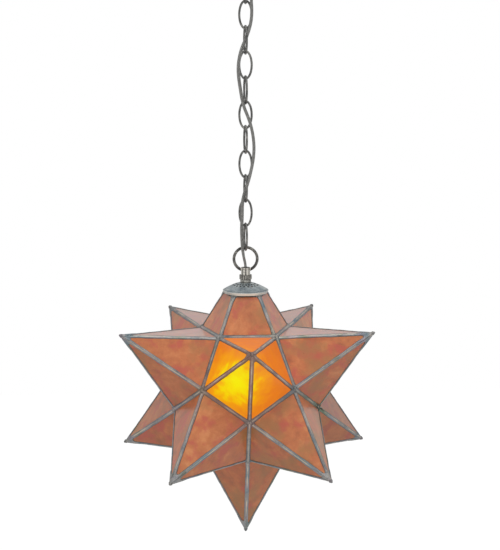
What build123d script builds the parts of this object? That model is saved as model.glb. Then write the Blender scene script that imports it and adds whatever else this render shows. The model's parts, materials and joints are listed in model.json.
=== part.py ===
"""Moravian star pendant: a twelve-pointed star lantern of mica panels held in soldered seams.

It hangs on an oval-link chain from a round ceiling canopy. Units are millimetres, +Z is up, and the
origin is the centre of the canopy's rim, on the ceiling. The front point of the star looks along -Y.
"""

import os
from math import acos, atan2, cos, degrees, hypot, pi, radians, sin, tan

from build123d import *

# ---- star ----
STAR_WIDTH = 355.6          # across the widest pair of upper points, 14 in
BODY_RADIUS = 110.6         # centre of the star to the inner corners between its points
BOTTOM_POINT_EXTRA = 5.0    # the bottom point reaches further than the side points by this
TOP_POINT_SHORTER = 15.8    # the top point, had it no mouth, would end this much nearer than the others
PANEL_THICKNESS = 2.0
SEAM_HALF_WIDTH = 2.85      # from the edge of the glass line to the edge of the solder
SEAM_PROUD = 0.9            # crest of a seam above the panels
SEAM_EDGE_PROUD = 0.35      # edge of a seam above the panels
CREST_SHARE = 0.45          # flat part of a ridge seam's crest, as a share of its half width
UPPER_ELEVATION = degrees(atan2(1, 2))
SIDE_BY_SIDE = 0.3          # cosine that only the directions of neighbouring points exceed

# ---- access door, the lower point on the right ----
DOOR_POINT = "lower_2"
HINGE_NEIGHBOUR = "lower_3"
DOOR_GAP = 0.6
HINGE_BARREL_RADIUS = 2.0
HINGE_PIN_RADIUS = 0.8
HINGE_RUNNING_CLEARANCE = 0.05
HINGE_END_GAP = 0.3
HINGE_SEAT_GAP = 0.2        # barrels clear of the seam on the other side of the gap
BODY_KNUCKLE_LENGTH = 8.0
DOOR_KNUCKLE_LENGTH = 12.0
PIN_OVERHANG = 1.0
LEAF_WIDTH = 2.2
LEAF_TOP_SHARE = 0.8        # how far out a leaf meets its barrel, as a share of the barrel's radius

# ---- latch: a wire bail that drops over a stud on the door ----
LATCH_SETBACK = 3.4         # pivot of the bail, back from the corner along the seam
BAIL_WIRE_RADIUS = 0.55
BAIL_LENGTH = 9.6
BAIL_WIDTH = 6.0
EYE_WIRE_RADIUS = 0.45
EYE_CLEARANCE = 0.15
STUD_RADIUS = 0.6
STUD_HEAD_RADIUS = 0.9
STUD_HEIGHT = 4.2
STUD_ROOT = 1.0
STUD_REACH = 1.4            # foot of the stud, past the corner along the door's ridge

# ---- cap, neck and lantern ring ----
CAP_RADIUS = 32.8
CAP_LIP_TUCK = 1.4          # the lip's foot is this much nearer to the axis than the cap's edge
MOUTH_OVERHANG = 0.92       # corners of the star's mouth, outside the foot of the lip
CAP_HEIGHT = 14.5
CAP_LIP_HEIGHT = 3.4
CAP_WALL = 1.2
CAP_FLAT_RADIUS = 8.4
CAP_BULGE = 1.0             # rise of the dome over the straight line from flat to edge
VENTS_PER_ROW = 20
VENT_RADIUS = 1.1
VENT_ROWS = (13.8, 18.0)
NECK_WALL = 2.7
NECK_HEIGHT = 4.9
NECK_CHAMFER = 0.8
CHECK_RING_WALL = 3.9
CHECK_RING_HEIGHT = 5.9
CHECK_RING_NOTCHES = 18
CHECK_RING_NOTCH_RADIUS = 0.7
RING_DIAMETER = 37.4
RING_WIRE = 4.1
RING_BASE_WALL = 1.6
RING_BASE_DROP = 4.3        # foot of the ring to the foot of its base
RING_BASE_HEIGHT = 10.7
RING_BASE_FLUTES = 8
FLUTE_RADIUS = 1.1

# ---- threaded tubes and nuts ----
NIPPLE_RADIUS = 5.0
NIPPLE_WALL = 1.6
FIXTURE_NIPPLE_LENGTH = 50.8
FIXTURE_NIPPLE_GRIP = 7.5   # length of the nipple inside the ring's base
NUT_ACROSS_FLATS = 17.0
NUT_HEIGHT = 4.0
SPIDER_THICKNESS = 2.0
SPIDER_HUB_RADIUS = 12.0
SPIDER_ARM_WIDTH = 7.0
SPIDER_ARMS = 5

# ---- lamp holder ----
SOCKET_CAP_GRIP = 8.0       # length of the nipple inside the socket cap's neck
SOCKET_CAP_HEIGHT = 19.0
SOCKET_CAP_NECK_HEIGHT = 9.0
SOCKET_SHOULDER_DROP = 6.0
SOCKET_WIRING_SPACE = 5.0   # between the cap's foot and the core
SOCKET_WALL = 0.8
SOCKET_FIT = 0.05
SOCKET_OVERLAP = 3.8        # length of the shell inside the cap's skirt
LINER_THICKNESS = 0.7
LINER_SETBACK = 1.0         # from the mouth of the shell
THREAD_CLEARANCE = 0.25     # between the lamp's thread and the screw shell
SCREW_SHELL_WALL = 0.4
SCREW_SHELL_SETBACK = 2.0   # from the mouth of the shell
SCREW_SHELL_SPACE = 1.25    # between the screw shell and the liner
SCREW_SHELL_DEPTH = 22.0
CORE_HEIGHT = 16.0
CONTACT_WIDTH = 5.0
CONTACT_THICKNESS = 0.8

# ---- bulb ----
BULB_LENGTH = 108.0
BULB_RADIUS = 30.0
BULB_NECK_STEP = 0.3        # glass neck over the metal base
BULB_NECK_LENGTH = 8.0
BULB_WALL = 0.8
BULB_BASE_RADIUS = 13.1
BULB_BASE_LENGTH = 24.0
BULB_BASE_WALL = 0.4
BULB_SHOULDER_DROP = 3.0
BULB_INSULATOR_RIM = 1.0
BULB_BUTTON_RADIUS = 5.0
BULB_BUTTON_HEIGHT = 2.6
BULB_SEAT_GAP = 0.3
STEM_RADIUS = 3.6
STEM_TIP_RADIUS = 2.2
STEM_LENGTH = 46.0
STEM_FLARE_HEIGHT = 4.0
LEAD_RADIUS = 0.35
LEAD_DEPTH = 3.0            # ends of the leads inside the stem
LEAD_SPREAD = 1.8
FILAMENT_DROP = 2.0         # filament below the end of the stem
FILAMENT_RADIUS = 9.0
FILAMENT_WIRE_RADIUS = 0.4

# ---- chain ----
CHAIN_LINKS = 11
LINK_LENGTH = 41.0
LINK_WIDTH = 20.4
LINK_WIRE = 3.1
LINK_GAP = 0.2              # play between two linked wires
LINK_TWIST = 10.0           # turn of the odd links about the chain, out of the YZ plane

# ---- ceiling hardware ----
CANOPY_RADIUS = 63.5
CANOPY_DEPTH = 30.0
CANOPY_WALL = 1.0
CANOPY_RIM_HEIGHT = 5.0
CANOPY_FLAT_RADIUS = 22.0
CANOPY_BULGE = 6.0
CANOPY_HOLE_CLEARANCE = 0.6
CANOPY_SEAT_GAP = 0.3
STUB_RADIUS = 12.7
STUB_LENGTH = 18.0
STUB_SHOW = 2.0             # stub below the collar
COLLAR_WALL = 4.8
COLLAR_HEIGHT = 8.0
COLLAR_RUNNING_CLEARANCE = 0.1
COLLAR_NOTCHES = 24
COLLAR_NOTCH_RADIUS = 0.8
CANOPY_RING_DIAMETER = 25.0
CANOPY_RING_WIRE = 3.5
CANOPY_RING_SINK = 1.5      # depth of the ring's top inside the stub
CROSSBAR_END = 3.0          # metal past the slots
CROSSBAR_WIDTH = 18.0
CROSSBAR_THICKNESS = 2.5
CROSSBAR_CORNER_RADIUS = 3.0
BOX_SCREW_SPACING = 88.9    # ceiling box screws, 3.5 in apart
SLOT_LENGTH = 9.0
SLOT_WIDTH = 5.0
GROUND_SCREW_OFFSET = 24.0
GROUND_SCREW_RADIUS = 2.4
GROUND_SCREW_HEAD_RADIUS = 5.0
GROUND_SCREW_HEAD_HEIGHT = 3.0
DRIVER_SLOT_WIDTH = 1.2
DRIVER_SLOT_DEPTH = 1.4

# ---- supply cord: it leaves the canopy's loop, weaves down the chain and enters the lantern's ring ----
CORD_RADIUS = 2.0
ARC_SHARE = 0.45            # of the shorter run beside a turn, taken up by its arc
CORD_POINTS = [             # x, y and z, from the ceiling down
    (0.0, 0.0, -33.0),
    (0.0, 0.0, -40.5),
    (1.6, -2.6, -47.5),
    (4.8, -6.6, -56.0),
    (7.4, -7.0, -66.0),
    (8.6, -5.4, -78.0),
    (7.7, -4.5, -91.0),
    (8.7, -4.6, -105.0),
    (8.0, -4.4, -119.0),
    (5.3, -4.1, -131.0),
    (0.8, -2.8, -144.0),
    (-4.6, -3.6, -156.0),
    (-8.3, -4.6, -168.0),
    (-10.6, -5.0, -184.0),
    (-9.6, -4.8, -200.0),
    (-7.4, -4.8, -214.0),
    (-5.2, -5.0, -228.0),
    (-2.2, -5.0, -240.0),
    (2.6, -4.6, -251.0),
    (7.2, -4.6, -264.0),
    (10.6, -4.6, -280.0),
    (12.0, -4.4, -296.0),
    (10.9, -4.6, -312.0),
    (7.9, -4.5, -327.0),
    (4.8, -3.6, -340.0),
    (1.5, -2.6, -351.0),
    (-2.2, -2.9, -362.0),
    (-5.0, -4.4, -375.0),
    (-5.1, -5.0, -394.0),
    (-5.9, -5.2, -410.0),
    (-5.5, -5.2, -426.0),
    (-4.6, -5.0, -440.0),
    (-2.9, -3.4, -452.0),
    (-0.6, -0.9, -461.0),
    (0.0, 0.0, -469.0),
    (0.0, 0.0, -476.0),
]

# ---- radii worked out from the sizes above ----
CAP_LIP_RADIUS = CAP_RADIUS - CAP_LIP_TUCK
NIPPLE_BORE_RADIUS = NIPPLE_RADIUS - NIPPLE_WALL
NECK_RADIUS = NIPPLE_RADIUS + NECK_WALL
CHECK_RING_RADIUS = NIPPLE_RADIUS + CHECK_RING_WALL
RING_BASE_RADIUS = NIPPLE_RADIUS + RING_BASE_WALL
BULB_NECK_RADIUS = BULB_BASE_RADIUS + BULB_NECK_STEP
SCREW_SHELL_RADIUS = BULB_BASE_RADIUS + THREAD_CLEARANCE
LINER_RADIUS = SCREW_SHELL_RADIUS + SCREW_SHELL_WALL + SCREW_SHELL_SPACE + LINER_THICKNESS
SOCKET_SHELL_RADIUS = LINER_RADIUS + SOCKET_WALL
COLLAR_RADIUS = STUB_RADIUS + COLLAR_WALL


# ---- directions of the star ----
def ring_direction(azimuth, elevation):
    """A unit vector at an azimuth counted from the front towards +X, and an elevation."""
    flat = cos(radians(elevation))
    return Vector(
        flat * sin(radians(azimuth)), -flat * cos(radians(azimuth)), sin(radians(elevation))
    )


def star_points():
    """The twelve point directions by name."""
    points = {"top": Vector(0, 0, 1), "bottom": Vector(0, 0, -1)}
    for index in range(5):
        points[f"upper_{index + 1}"] = ring_direction(72 * index, UPPER_ELEVATION)
        points[f"lower_{index + 1}"] = ring_direction(72 * index + 36, -UPPER_ELEVATION)
    return points


POINTS = star_points()
STAR_RADIUS = STAR_WIDTH / (2 * cos(radians(UPPER_ELEVATION)) * sin(radians(72)))
REACH = {name: STAR_RADIUS for name in POINTS}
REACH["bottom"] = STAR_RADIUS + BOTTOM_POINT_EXTRA
REACH["top"] = STAR_RADIUS - TOP_POINT_SHORTER


def touching(first, second):
    """Two points of the star share a valley if their directions are 63 degrees apart."""
    return first != second and POINTS[first].dot(POINTS[second]) > SIDE_BY_SIDE


def neighbours(*names):
    """The points that share a valley with all of the named ones."""
    return [other for other in POINTS if all(touching(name, other) for name in names)]


def arm(*names):
    """From the star's centre to the inner corner where three of its points meet."""
    return sum((POINTS[name] for name in names), Vector(0, 0, 0)).normalized() * BODY_RADIUS


def mouth_height():
    """Height over the star's centre at which the top point is as wide as the foot of the cap."""
    base = arm("top", "upper_1", "upper_2")
    share = (CAP_LIP_RADIUS + MOUTH_OVERHANG) / hypot(base.X, base.Y)
    return REACH["top"] - (REACH["top"] - base.Z) * share


# ---- heights worked out from the sizes above, from the ceiling down ----
STUB_FOOT = -CANOPY_DEPTH - COLLAR_HEIGHT - STUB_SHOW
STUB_TOP = STUB_FOOT + STUB_LENGTH
CANOPY_RING_CENTRE = STUB_FOOT - CANOPY_RING_DIAMETER / 2 + CANOPY_RING_SINK
FIRST_SEAT = CANOPY_RING_CENTRE - (CANOPY_RING_DIAMETER - CANOPY_RING_WIRE) / 2
CANOPY_RING_PLAY = (CANOPY_RING_WIRE + LINK_WIRE) / 2 + LINK_GAP
RING_PLAY = (RING_WIRE + LINK_WIRE) / 2 + LINK_GAP
LINK_CENTRES_LENGTH = LINK_LENGTH - LINK_WIRE
LINK_PITCH = LINK_CENTRES_LENGTH - LINK_WIRE - LINK_GAP
LAST_SEAT = FIRST_SEAT + CANOPY_RING_PLAY - LINK_CENTRES_LENGTH - LINK_PITCH * (CHAIN_LINKS - 1)
RING_CENTRE = LAST_SEAT + RING_PLAY - (RING_DIAMETER - RING_WIRE) / 2
RING_FOOT = RING_CENTRE - RING_DIAMETER / 2 - RING_BASE_DROP
CHECK_RING_FOOT = RING_FOOT - CHECK_RING_HEIGHT
CAP_TOP = CHECK_RING_FOOT - NECK_HEIGHT
MOUTH_LEVEL = CAP_TOP - CAP_HEIGHT
CENTRE = Vector(0, 0, MOUTH_LEVEL - mouth_height())

NIPPLE_TOP = RING_FOOT + FIXTURE_NIPPLE_GRIP
NIPPLE_FOOT = NIPPLE_TOP - FIXTURE_NIPPLE_LENGTH
SOCKET_TOP = NIPPLE_FOOT + SOCKET_CAP_GRIP
BULB_TOP = SOCKET_TOP - SOCKET_CAP_HEIGHT - SOCKET_WIRING_SPACE - CORE_HEIGHT
SOCKET_MOUTH = BULB_TOP - SCREW_SHELL_DEPTH
BULB_FOOT = BULB_TOP - BULB_LENGTH

nodes = []


def save(node, solids):
    """Write the solids of one node to its file."""
    group = list(solids) if isinstance(solids, (list, tuple)) else [solids]
    pieces = [piece for item in group for piece in item.solids()]
    nodes.append(node)
    export_step(Compound(children=pieces), f"parts/{node}.step")


def at(height):
    """A plane across the hanging axis at a height."""
    return Plane.XY.offset(height)


def tube(outer, inner, low, high):
    """A straight tube on the hanging axis between two heights."""
    solid = at(low) * extrude(Circle(outer), high - low)
    return solid - at(low) * extrude(Circle(inner), high - low)


def turned(points):
    """A solid of revolution about the hanging axis, from a closed outline of (radius, height)."""
    outline = Polyline(*[(radius, 0, height) for radius, height in points], close=True)
    return revolve(make_face(outline), Axis.Z)


def notched(solid, count, notch_radius, at_radius, low, high):
    """Cut upright round grooves around the outside of a solid on the hanging axis."""
    grooves = [
        at(low) * pose * extrude(Circle(notch_radius), high - low)
        for pose in PolarLocations(at_radius, count)
    ]
    return solid - grooves


def bulged(start, end, rise):
    """The middle point of an arc that rises over the line from start to end, in (radius, height)."""
    along = Vector(end[0] - start[0], end[1] - start[1])
    side = Vector(-along.Y, along.X).normalized() * rise
    return ((start[0] + end[0]) / 2 + side.X, (start[1] + end[1]) / 2 + side.Y)


def section(radius_height):
    """A point of a turned outline as a point in the XZ plane."""
    return (radius_height[0], 0, radius_height[1])


def wire_ring(diameter, wire, height):
    """A round wire ring that hangs in the XZ plane."""
    return Plane.XZ * Pos(0, height, 0) * Torus((diameter - wire) / 2, wire / 2)


def oval_wire(length, width, wire_radius):
    """A round wire bent to an ellipse in the XY plane, long along X and centred on the origin."""
    path = Ellipse(length / 2 - wire_radius, width / 2 - wire_radius).wire()
    return sweep(Plane(path @ 0, z_dir=path % 0) * Circle(wire_radius), path=path)


# ---- places and facets of the star ----
def tip(name):
    return CENTRE + POINTS[name] * REACH[name]


def corner(*names):
    """The inner corner where three points of the star meet."""
    return CENTRE + arm(*names)


def facet_normal(point, neighbour):
    """The outward normal of the facet of a point that faces a neighbour."""
    first, second = (corner(point, neighbour, other) for other in neighbours(point, neighbour))
    normal = (first - tip(point)).cross(second - tip(point)).normalized()
    return normal if normal.dot(POINTS[neighbour]) > 0 else -normal


def mouth_corner(base):
    """Where the ridge of the top point from an inner corner crosses the plane of the mouth."""
    apex = tip("top")
    share = (apex.Z - MOUTH_LEVEL) / (apex.Z - base.Z)
    return apex + (base - apex) * share


def facet_outline(point, neighbour):
    """The corners of a facet: valley corners first, then the tip, or the two mouth corners."""
    first, second = (corner(point, neighbour, other) for other in neighbours(point, neighbour))
    if point == "top":
        return [first, second, mouth_corner(second), mouth_corner(first)]
    return [first, second, tip(point)]


def inset(outline, amount):
    """An outline drawn in by the same amount along every edge, in its own plane."""
    moved = []
    for index, here in enumerate(outline):
        back = (outline[index - 1] - here).normalized()
        ahead = (outline[(index + 1) % len(outline)] - here).normalized()
        turn = back.cross(ahead).length
        moved.append(here + (back + ahead) * (amount / turn))
    return moved


def panel(point, neighbour):
    """The flat pane of one facet."""
    outline = inset(facet_outline(point, neighbour), SEAM_HALF_WIDTH)
    inward = facet_normal(point, neighbour) * -PANEL_THICKNESS
    return ConvexPolyhedron(outline + [place + inward for place in outline])


def panels(point):
    return [panel(point, neighbour) for neighbour in neighbours(point)]


# ---- seams ----
def into_facet(edge, normal, away_from, towards):
    """The unit vector in a facet that leaves an edge at a right angle, towards a place in the facet."""
    side = normal.cross(edge).normalized()
    return side if side.dot(towards - away_from) > 0 else -side


def bar_between(start, end, profile):
    """A straight bar with the same profile, a list of offsets, at both ends, run on past them."""
    along = (end - start).normalized() * SEAM_HALF_WIDTH * 2
    places = [start - along + offset for offset in profile]
    return ConvexPolyhedron(places + [end + along + offset for offset in profile])


def keep_side(solid, place, normal):
    """The part of a solid on the side of a plane that its normal points to."""
    return split(solid, Plane(place, z_dir=normal), keep=Keep.TOP)


def radial_cut(solid, base, glass_corner, inside):
    """Cut a bar along the plane through the star's centre, an inner corner and a pane's corner."""
    normal = (base - CENTRE).cross(glass_corner - CENTRE).normalized()
    if normal.dot(inside - CENTRE) < 0:
        normal = -normal
    return keep_side(solid, CENTRE, normal)


def pane_corner(point, neighbour, place):
    """The corner of a pane that lies nearest to a place."""
    return min(
        inset(facet_outline(point, neighbour), SEAM_HALF_WIDTH), key=lambda spot: (spot - place).length
    )


def ridge_profile(point, first, second):
    """Offsets of a ridge seam, from its edge line to the corners of its section."""
    base = corner(point, first, second)
    edge = (tip(point) - base).normalized()
    profile = []
    for neighbour in (first, second):
        normal = facet_normal(point, neighbour)
        valley_middle = sum(facet_outline(point, neighbour)[:2], Vector(0, 0, 0)) / 2
        side = into_facet(edge, normal, base, valley_middle)
        profile += [
            side * SEAM_HALF_WIDTH - normal * PANEL_THICKNESS,
            side * SEAM_HALF_WIDTH + normal * SEAM_EDGE_PROUD,
            side * SEAM_HALF_WIDTH * CREST_SHARE + normal * SEAM_PROUD,
        ]
    return profile


def ridge_seam(point, first, second):
    """The seam along a ridge of a point, between the facets that face two neighbours."""
    base = corner(point, first, second)
    end = mouth_corner(base) if point == "top" else tip(point)
    bar = bar_between(base, end, ridge_profile(point, first, second))
    middle = (base + end) / 2
    for neighbour in (first, second):
        bar = radial_cut(bar, base, pane_corner(point, neighbour, base), middle)
        if point != "top":
            axis = POINTS[point]
            normal = axis.cross(pane_corner(point, neighbour, end) - CENTRE).normalized()
            normal = normal if normal.dot(middle - CENTRE) > 0 else -normal
            bar = keep_side(bar, CENTRE, normal)
    if point == "top":
        return keep_side(bar, Vector(0, 0, rim_seam_foot()), Vector(0, 0, -1))
    return trim_tip(bar, point)


def trim_tip(bar, point):
    """Blunt a seam where the solder ends, just past the tip of its point."""
    return keep_side(bar, tip(point) + POINTS[point] * SEAM_PROUD, -POINTS[point])


def rim_seam_foot():
    """Height at which the seam around the mouth ends and the ridges begin."""
    name = neighbours("top")[0]
    normal = facet_normal("top", name)
    return MOUTH_LEVEL - SEAM_HALF_WIDTH * hypot(normal.X, normal.Y)


def valley_profile(point, neighbour):
    """Offsets of a valley seam, from its edge line to the corners of its section."""
    first, second = (corner(point, neighbour, other) for other in neighbours(point, neighbour))
    edge = (second - first).normalized()
    out = ((first + second) / 2 - CENTRE).normalized()
    profile = []
    for here, there in ((point, neighbour), (neighbour, point)):
        normal = facet_normal(here, there)
        side = into_facet(edge, normal, first, facet_outline(here, there)[2])
        profile += [
            side * SEAM_HALF_WIDTH - normal * PANEL_THICKNESS,
            side * SEAM_HALF_WIDTH + normal * SEAM_EDGE_PROUD,
        ]
    profile.append(out * (-PANEL_THICKNESS / normal.dot(out)))
    return profile


def valley_seam(point, neighbour):
    """The seam along the valley between two points."""
    ends = [corner(point, neighbour, other) for other in neighbours(point, neighbour)]
    bar = bar_between(*ends, valley_profile(point, neighbour))
    middle = (ends[0] + ends[1]) / 2
    for end in ends:
        for here, there in ((point, neighbour), (neighbour, point)):
            bar = radial_cut(bar, end, pane_corner(here, there, end), middle)
    return bar


def door_plane(neighbour):
    """Normal of the plane through the star's centre along one side of the door, towards the door."""
    first, second = (arm(DOOR_POINT, neighbour, other) for other in neighbours(DOOR_POINT, neighbour))
    normal = first.cross(second).normalized()
    return normal if normal.dot(POINTS[DOOR_POINT]) > 0 else -normal


def door_side(solid):
    """The part of a solid inside the door's outline, less half the gap around it."""
    for neighbour in neighbours(DOOR_POINT):
        normal = door_plane(neighbour)
        solid = keep_side(solid, CENTRE + normal * (DOOR_GAP / 2), normal)
    return solid


def body_side(solid, neighbour):
    """The part of a door seam that stays on the star, less half the gap."""
    normal = -door_plane(neighbour)
    return keep_side(solid, CENTRE + normal * (DOOR_GAP / 2), normal)


def ridge_seams(point):
    """The five ridge seams of a point."""
    around = neighbours(point)
    pairs = [(a, b) for i, a in enumerate(around) for b in around[i + 1:] if touching(a, b)]
    return [ridge_seam(point, first, second) for first, second in pairs]


def valley_pairs():
    names = list(POINTS)
    return [(a, b) for i, a in enumerate(names) for b in names[i + 1:] if touching(a, b)]


def rim_seams():
    """The five seams that frame the mouth under the cap, mitred where they meet."""
    foot = rim_seam_foot()
    bars = []
    for neighbour in neighbours("top"):
        normal = facet_normal("top", neighbour)
        first, _, start, end = facet_outline("top", neighbour)
        slope = (first - end).normalized()
        down = slope * ((foot - MOUTH_LEVEL) / slope.Z)
        down -= (end - start).normalized() * down.dot((end - start).normalized())
        run_on = (end - start).normalized() * SEAM_HALF_WIDTH * 2
        across = [-normal * PANEL_THICKNESS, normal * SEAM_PROUD]
        ends = [start - run_on, end + run_on]
        edges = ends + [spot + down for spot in ends]
        bar = ConvexPolyhedron([spot + out for spot in edges for out in across])
        for spot in (start, end):
            mitre = Vector(0, 0, 1).cross(spot).normalized()
            bar = keep_side(bar, CENTRE, mitre if mitre.dot(start + end) > 0 else -mitre)
        bar = keep_side(bar, Vector(0, 0, MOUTH_LEVEL), Vector(0, 0, -1))
        bars.append(keep_side(bar, Vector(0, 0, foot), Vector(0, 0, 1)))
    return bars


# ---- door hinge ----
def valley_frame(point, neighbour, place):
    """A plane on a valley's edge line: X along the valley, Y across it, Z outward."""
    first, second = (corner(point, neighbour, other) for other in neighbours(point, neighbour))
    out = ((first + second) / 2 - CENTRE).normalized()
    return Plane(place, x_dir=(second - first).normalized(), z_dir=out)


def seam_height(point, neighbour):
    """Height of a valley seam's flat outer face over its edge line."""
    first, second = (corner(point, neighbour, other) for other in neighbours(point, neighbour))
    out = ((first + second) / 2 - CENTRE).normalized()
    return max(offset.dot(out) for offset in valley_profile(point, neighbour))


def knuckle(frame, seat, middle, length, towards, bore):
    """A hinge knuckle: a barrel over the valley and a foot down to the seam on one side of the gap."""
    axis_height = seat + HINGE_SEAT_GAP + HINGE_BARREL_RADIUS
    low = middle - length / 2
    barrel = Pos(low, 0, axis_height) * Rot(0, 90, 0) * extrude(Circle(HINGE_BARREL_RADIUS), length)
    edge = towards * DOOR_GAP / 2
    top = towards * HINGE_BARREL_RADIUS * LEAF_TOP_SHARE
    leaf = [(edge, seat), (towards * LEAF_WIDTH, seat), (edge, axis_height), (top, axis_height)]
    foot = ConvexPolyhedron([(end, *spot) for end in (low, low + length) for spot in leaf])
    hole = Pos(low, 0, axis_height) * Rot(0, 90, 0) * extrude(Circle(bore), length)
    return frame * (barrel + foot - hole)


def hinge():
    """The fixed leaf, the door's leaf and the pin of the door's hinge."""
    others = neighbours(DOOR_POINT, HINGE_NEIGHBOUR)
    middle = sum((corner(DOOR_POINT, HINGE_NEIGHBOUR, other) for other in others), Vector(0, 0, 0)) / 2
    frame = valley_frame(DOOR_POINT, HINGE_NEIGHBOUR, middle)
    towards = 1 if frame.y_dir.dot(POINTS[DOOR_POINT]) > 0 else -1
    seat = seam_height(DOOR_POINT, HINGE_NEIGHBOUR)
    step = (BODY_KNUCKLE_LENGTH + DOOR_KNUCKLE_LENGTH) / 2 + HINGE_END_GAP
    fixed = [
        knuckle(frame, seat, place, BODY_KNUCKLE_LENGTH, -towards, HINGE_PIN_RADIUS)
        for place in (-step, step)
    ]
    bore = HINGE_PIN_RADIUS + HINGE_RUNNING_CLEARANCE
    moving = knuckle(frame, seat, 0, DOOR_KNUCKLE_LENGTH, towards, bore)
    half = step + BODY_KNUCKLE_LENGTH / 2 + PIN_OVERHANG
    axis_height = seat + HINGE_SEAT_GAP + HINGE_BARREL_RADIUS
    start = Pos(-half, 0, axis_height) * Rot(0, 90, 0)
    pin = frame * (start * extrude(Circle(HINGE_PIN_RADIUS), 2 * half))
    place = frame * Pos(0, 0, axis_height) * Vertex(0, 0, 0)
    print("door hinge at", place.center(), "along", frame.x_dir)
    return fixed, moving, pin


# ---- latch ----
def latch():
    """The eye and the bail on the star, and the stud on the door."""
    sides = [n for n in neighbours(DOOR_POINT) if n in ("upper_2", "lower_1")]
    here = corner(DOOR_POINT, *sides)
    far = corner(*sides, "upper_1")
    frame = valley_frame(*sides, here)
    back = 1 if frame.x_dir.dot(far - here) > 0 else -1
    eye_radius = BAIL_WIRE_RADIUS + EYE_CLEARANCE + EYE_WIRE_RADIUS
    pivot_height = seam_height(*sides) + EYE_WIRE_RADIUS + eye_radius
    pivot = Pos(back * LATCH_SETBACK, 0, pivot_height)
    eye = frame * pivot * Rot(90, 0, 0) * Torus(eye_radius, EYE_WIRE_RADIUS)
    reach = back * (BAIL_LENGTH / 2 - BAIL_WIRE_RADIUS)
    bail = frame * pivot * Pos(reach, 0, 0) * oval_wire(BAIL_LENGTH, BAIL_WIDTH, BAIL_WIRE_RADIUS)
    ridge = (tip(DOOR_POINT) - here).normalized()
    out = (here - CENTRE).normalized()
    foot = here + ridge * STUD_REACH
    stem = Plane(foot - out * STUD_ROOT, z_dir=out) * extrude(Circle(STUD_RADIUS), STUD_HEIGHT + STUD_ROOT)
    stud = stem + Plane(foot + out * STUD_HEIGHT, z_dir=out) * Sphere(STUD_HEAD_RADIUS)
    crest = sum((facet_normal(DOOR_POINT, side) for side in sides), Vector(0, 0, 0)).normalized()
    crest_height = max(offset.dot(crest) for offset in ridge_profile(DOOR_POINT, *sides))
    stud = keep_side(stud, here + crest * crest_height, crest)
    place = frame * pivot * Vertex(0, 0, 0)
    print("latch pivot at", place.center(), "along", frame.y_dir * back)
    return eye, bail, stud


# ---- cap, neck and lantern ring ----
def vase_cap():
    """The vented cap over the mouth of the star."""
    edge = (CAP_RADIUS, MOUTH_LEVEL + CAP_LIP_HEIGHT)
    flat = (CAP_FLAT_RADIUS, CAP_TOP)
    inner_edge = (CAP_RADIUS - CAP_WALL, edge[1])
    inner_flat = (CAP_FLAT_RADIUS, CAP_TOP - CAP_WALL)
    outer = ThreePointArc(*map(section, (flat, bulged(edge, flat, -CAP_BULGE), edge)))
    inner_middle = bulged(inner_edge, inner_flat, -CAP_BULGE)
    inner = ThreePointArc(*map(section, (inner_edge, inner_middle, inner_flat)))
    lip = (CAP_LIP_RADIUS, MOUTH_LEVEL)
    inner_lip = (CAP_LIP_RADIUS - CAP_WALL, MOUTH_LEVEL)
    hole_top = (NIPPLE_RADIUS, CAP_TOP)
    hole_foot = (NIPPLE_RADIUS, CAP_TOP - CAP_WALL)
    rim = Polyline(*map(section, (edge, lip, inner_lip, inner_edge)))
    middle = Polyline(*map(section, (inner_flat, hole_foot, hole_top, flat)))
    cap = revolve(make_face([outer, rim, inner, middle]), Axis.Z)
    for index, radius in enumerate(VENT_ROWS):
        turn = Rot(0, 0, index * 180 / VENTS_PER_ROW)
        vents = [
            turn * pose * at(MOUTH_LEVEL) * extrude(Circle(VENT_RADIUS), CAP_HEIGHT)
            for pose in PolarLocations(radius, VENTS_PER_ROW)
        ]
        cap -= vents
    return cap


def neck_washer():
    washer = tube(NECK_RADIUS, NIPPLE_RADIUS, CAP_TOP, CHECK_RING_FOOT)
    rims = washer.edges().filter_by(GeomType.CIRCLE).group_by(SortBy.RADIUS)[-1]
    return chamfer(rims, NECK_CHAMFER)


def check_ring():
    ring = tube(CHECK_RING_RADIUS, NIPPLE_RADIUS, CHECK_RING_FOOT, RING_FOOT)
    return notched(
        ring, CHECK_RING_NOTCHES, CHECK_RING_NOTCH_RADIUS, CHECK_RING_RADIUS, CHECK_RING_FOOT, RING_FOOT
    )


def hanging_loop():
    """The lantern's ring with its fluted, tapped base."""
    top = RING_FOOT + RING_BASE_HEIGHT
    base = at(RING_FOOT) * extrude(Circle(RING_BASE_RADIUS), RING_BASE_HEIGHT)
    base = notched(base, RING_BASE_FLUTES, FLUTE_RADIUS, RING_BASE_RADIUS + FLUTE_RADIUS / 2, RING_FOOT, top)
    loop = base + wire_ring(RING_DIAMETER, RING_WIRE, RING_CENTRE)
    thread = at(RING_FOOT) * extrude(Circle(NIPPLE_RADIUS), FIXTURE_NIPPLE_GRIP)
    wireway = at(RING_FOOT) * extrude(Circle(NIPPLE_BORE_RADIUS), RING_BASE_HEIGHT + RING_WIRE)
    return loop - thread - wireway


def hex_nut(foot):
    """A hexagon nut on the threaded tube, standing on a height."""
    body = at(foot) * extrude(RegularPolygon(NUT_ACROSS_FLATS / 2, 6, major_radius=False), NUT_HEIGHT)
    return body - at(foot) * extrude(Circle(NIPPLE_RADIUS), NUT_HEIGHT)


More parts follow.
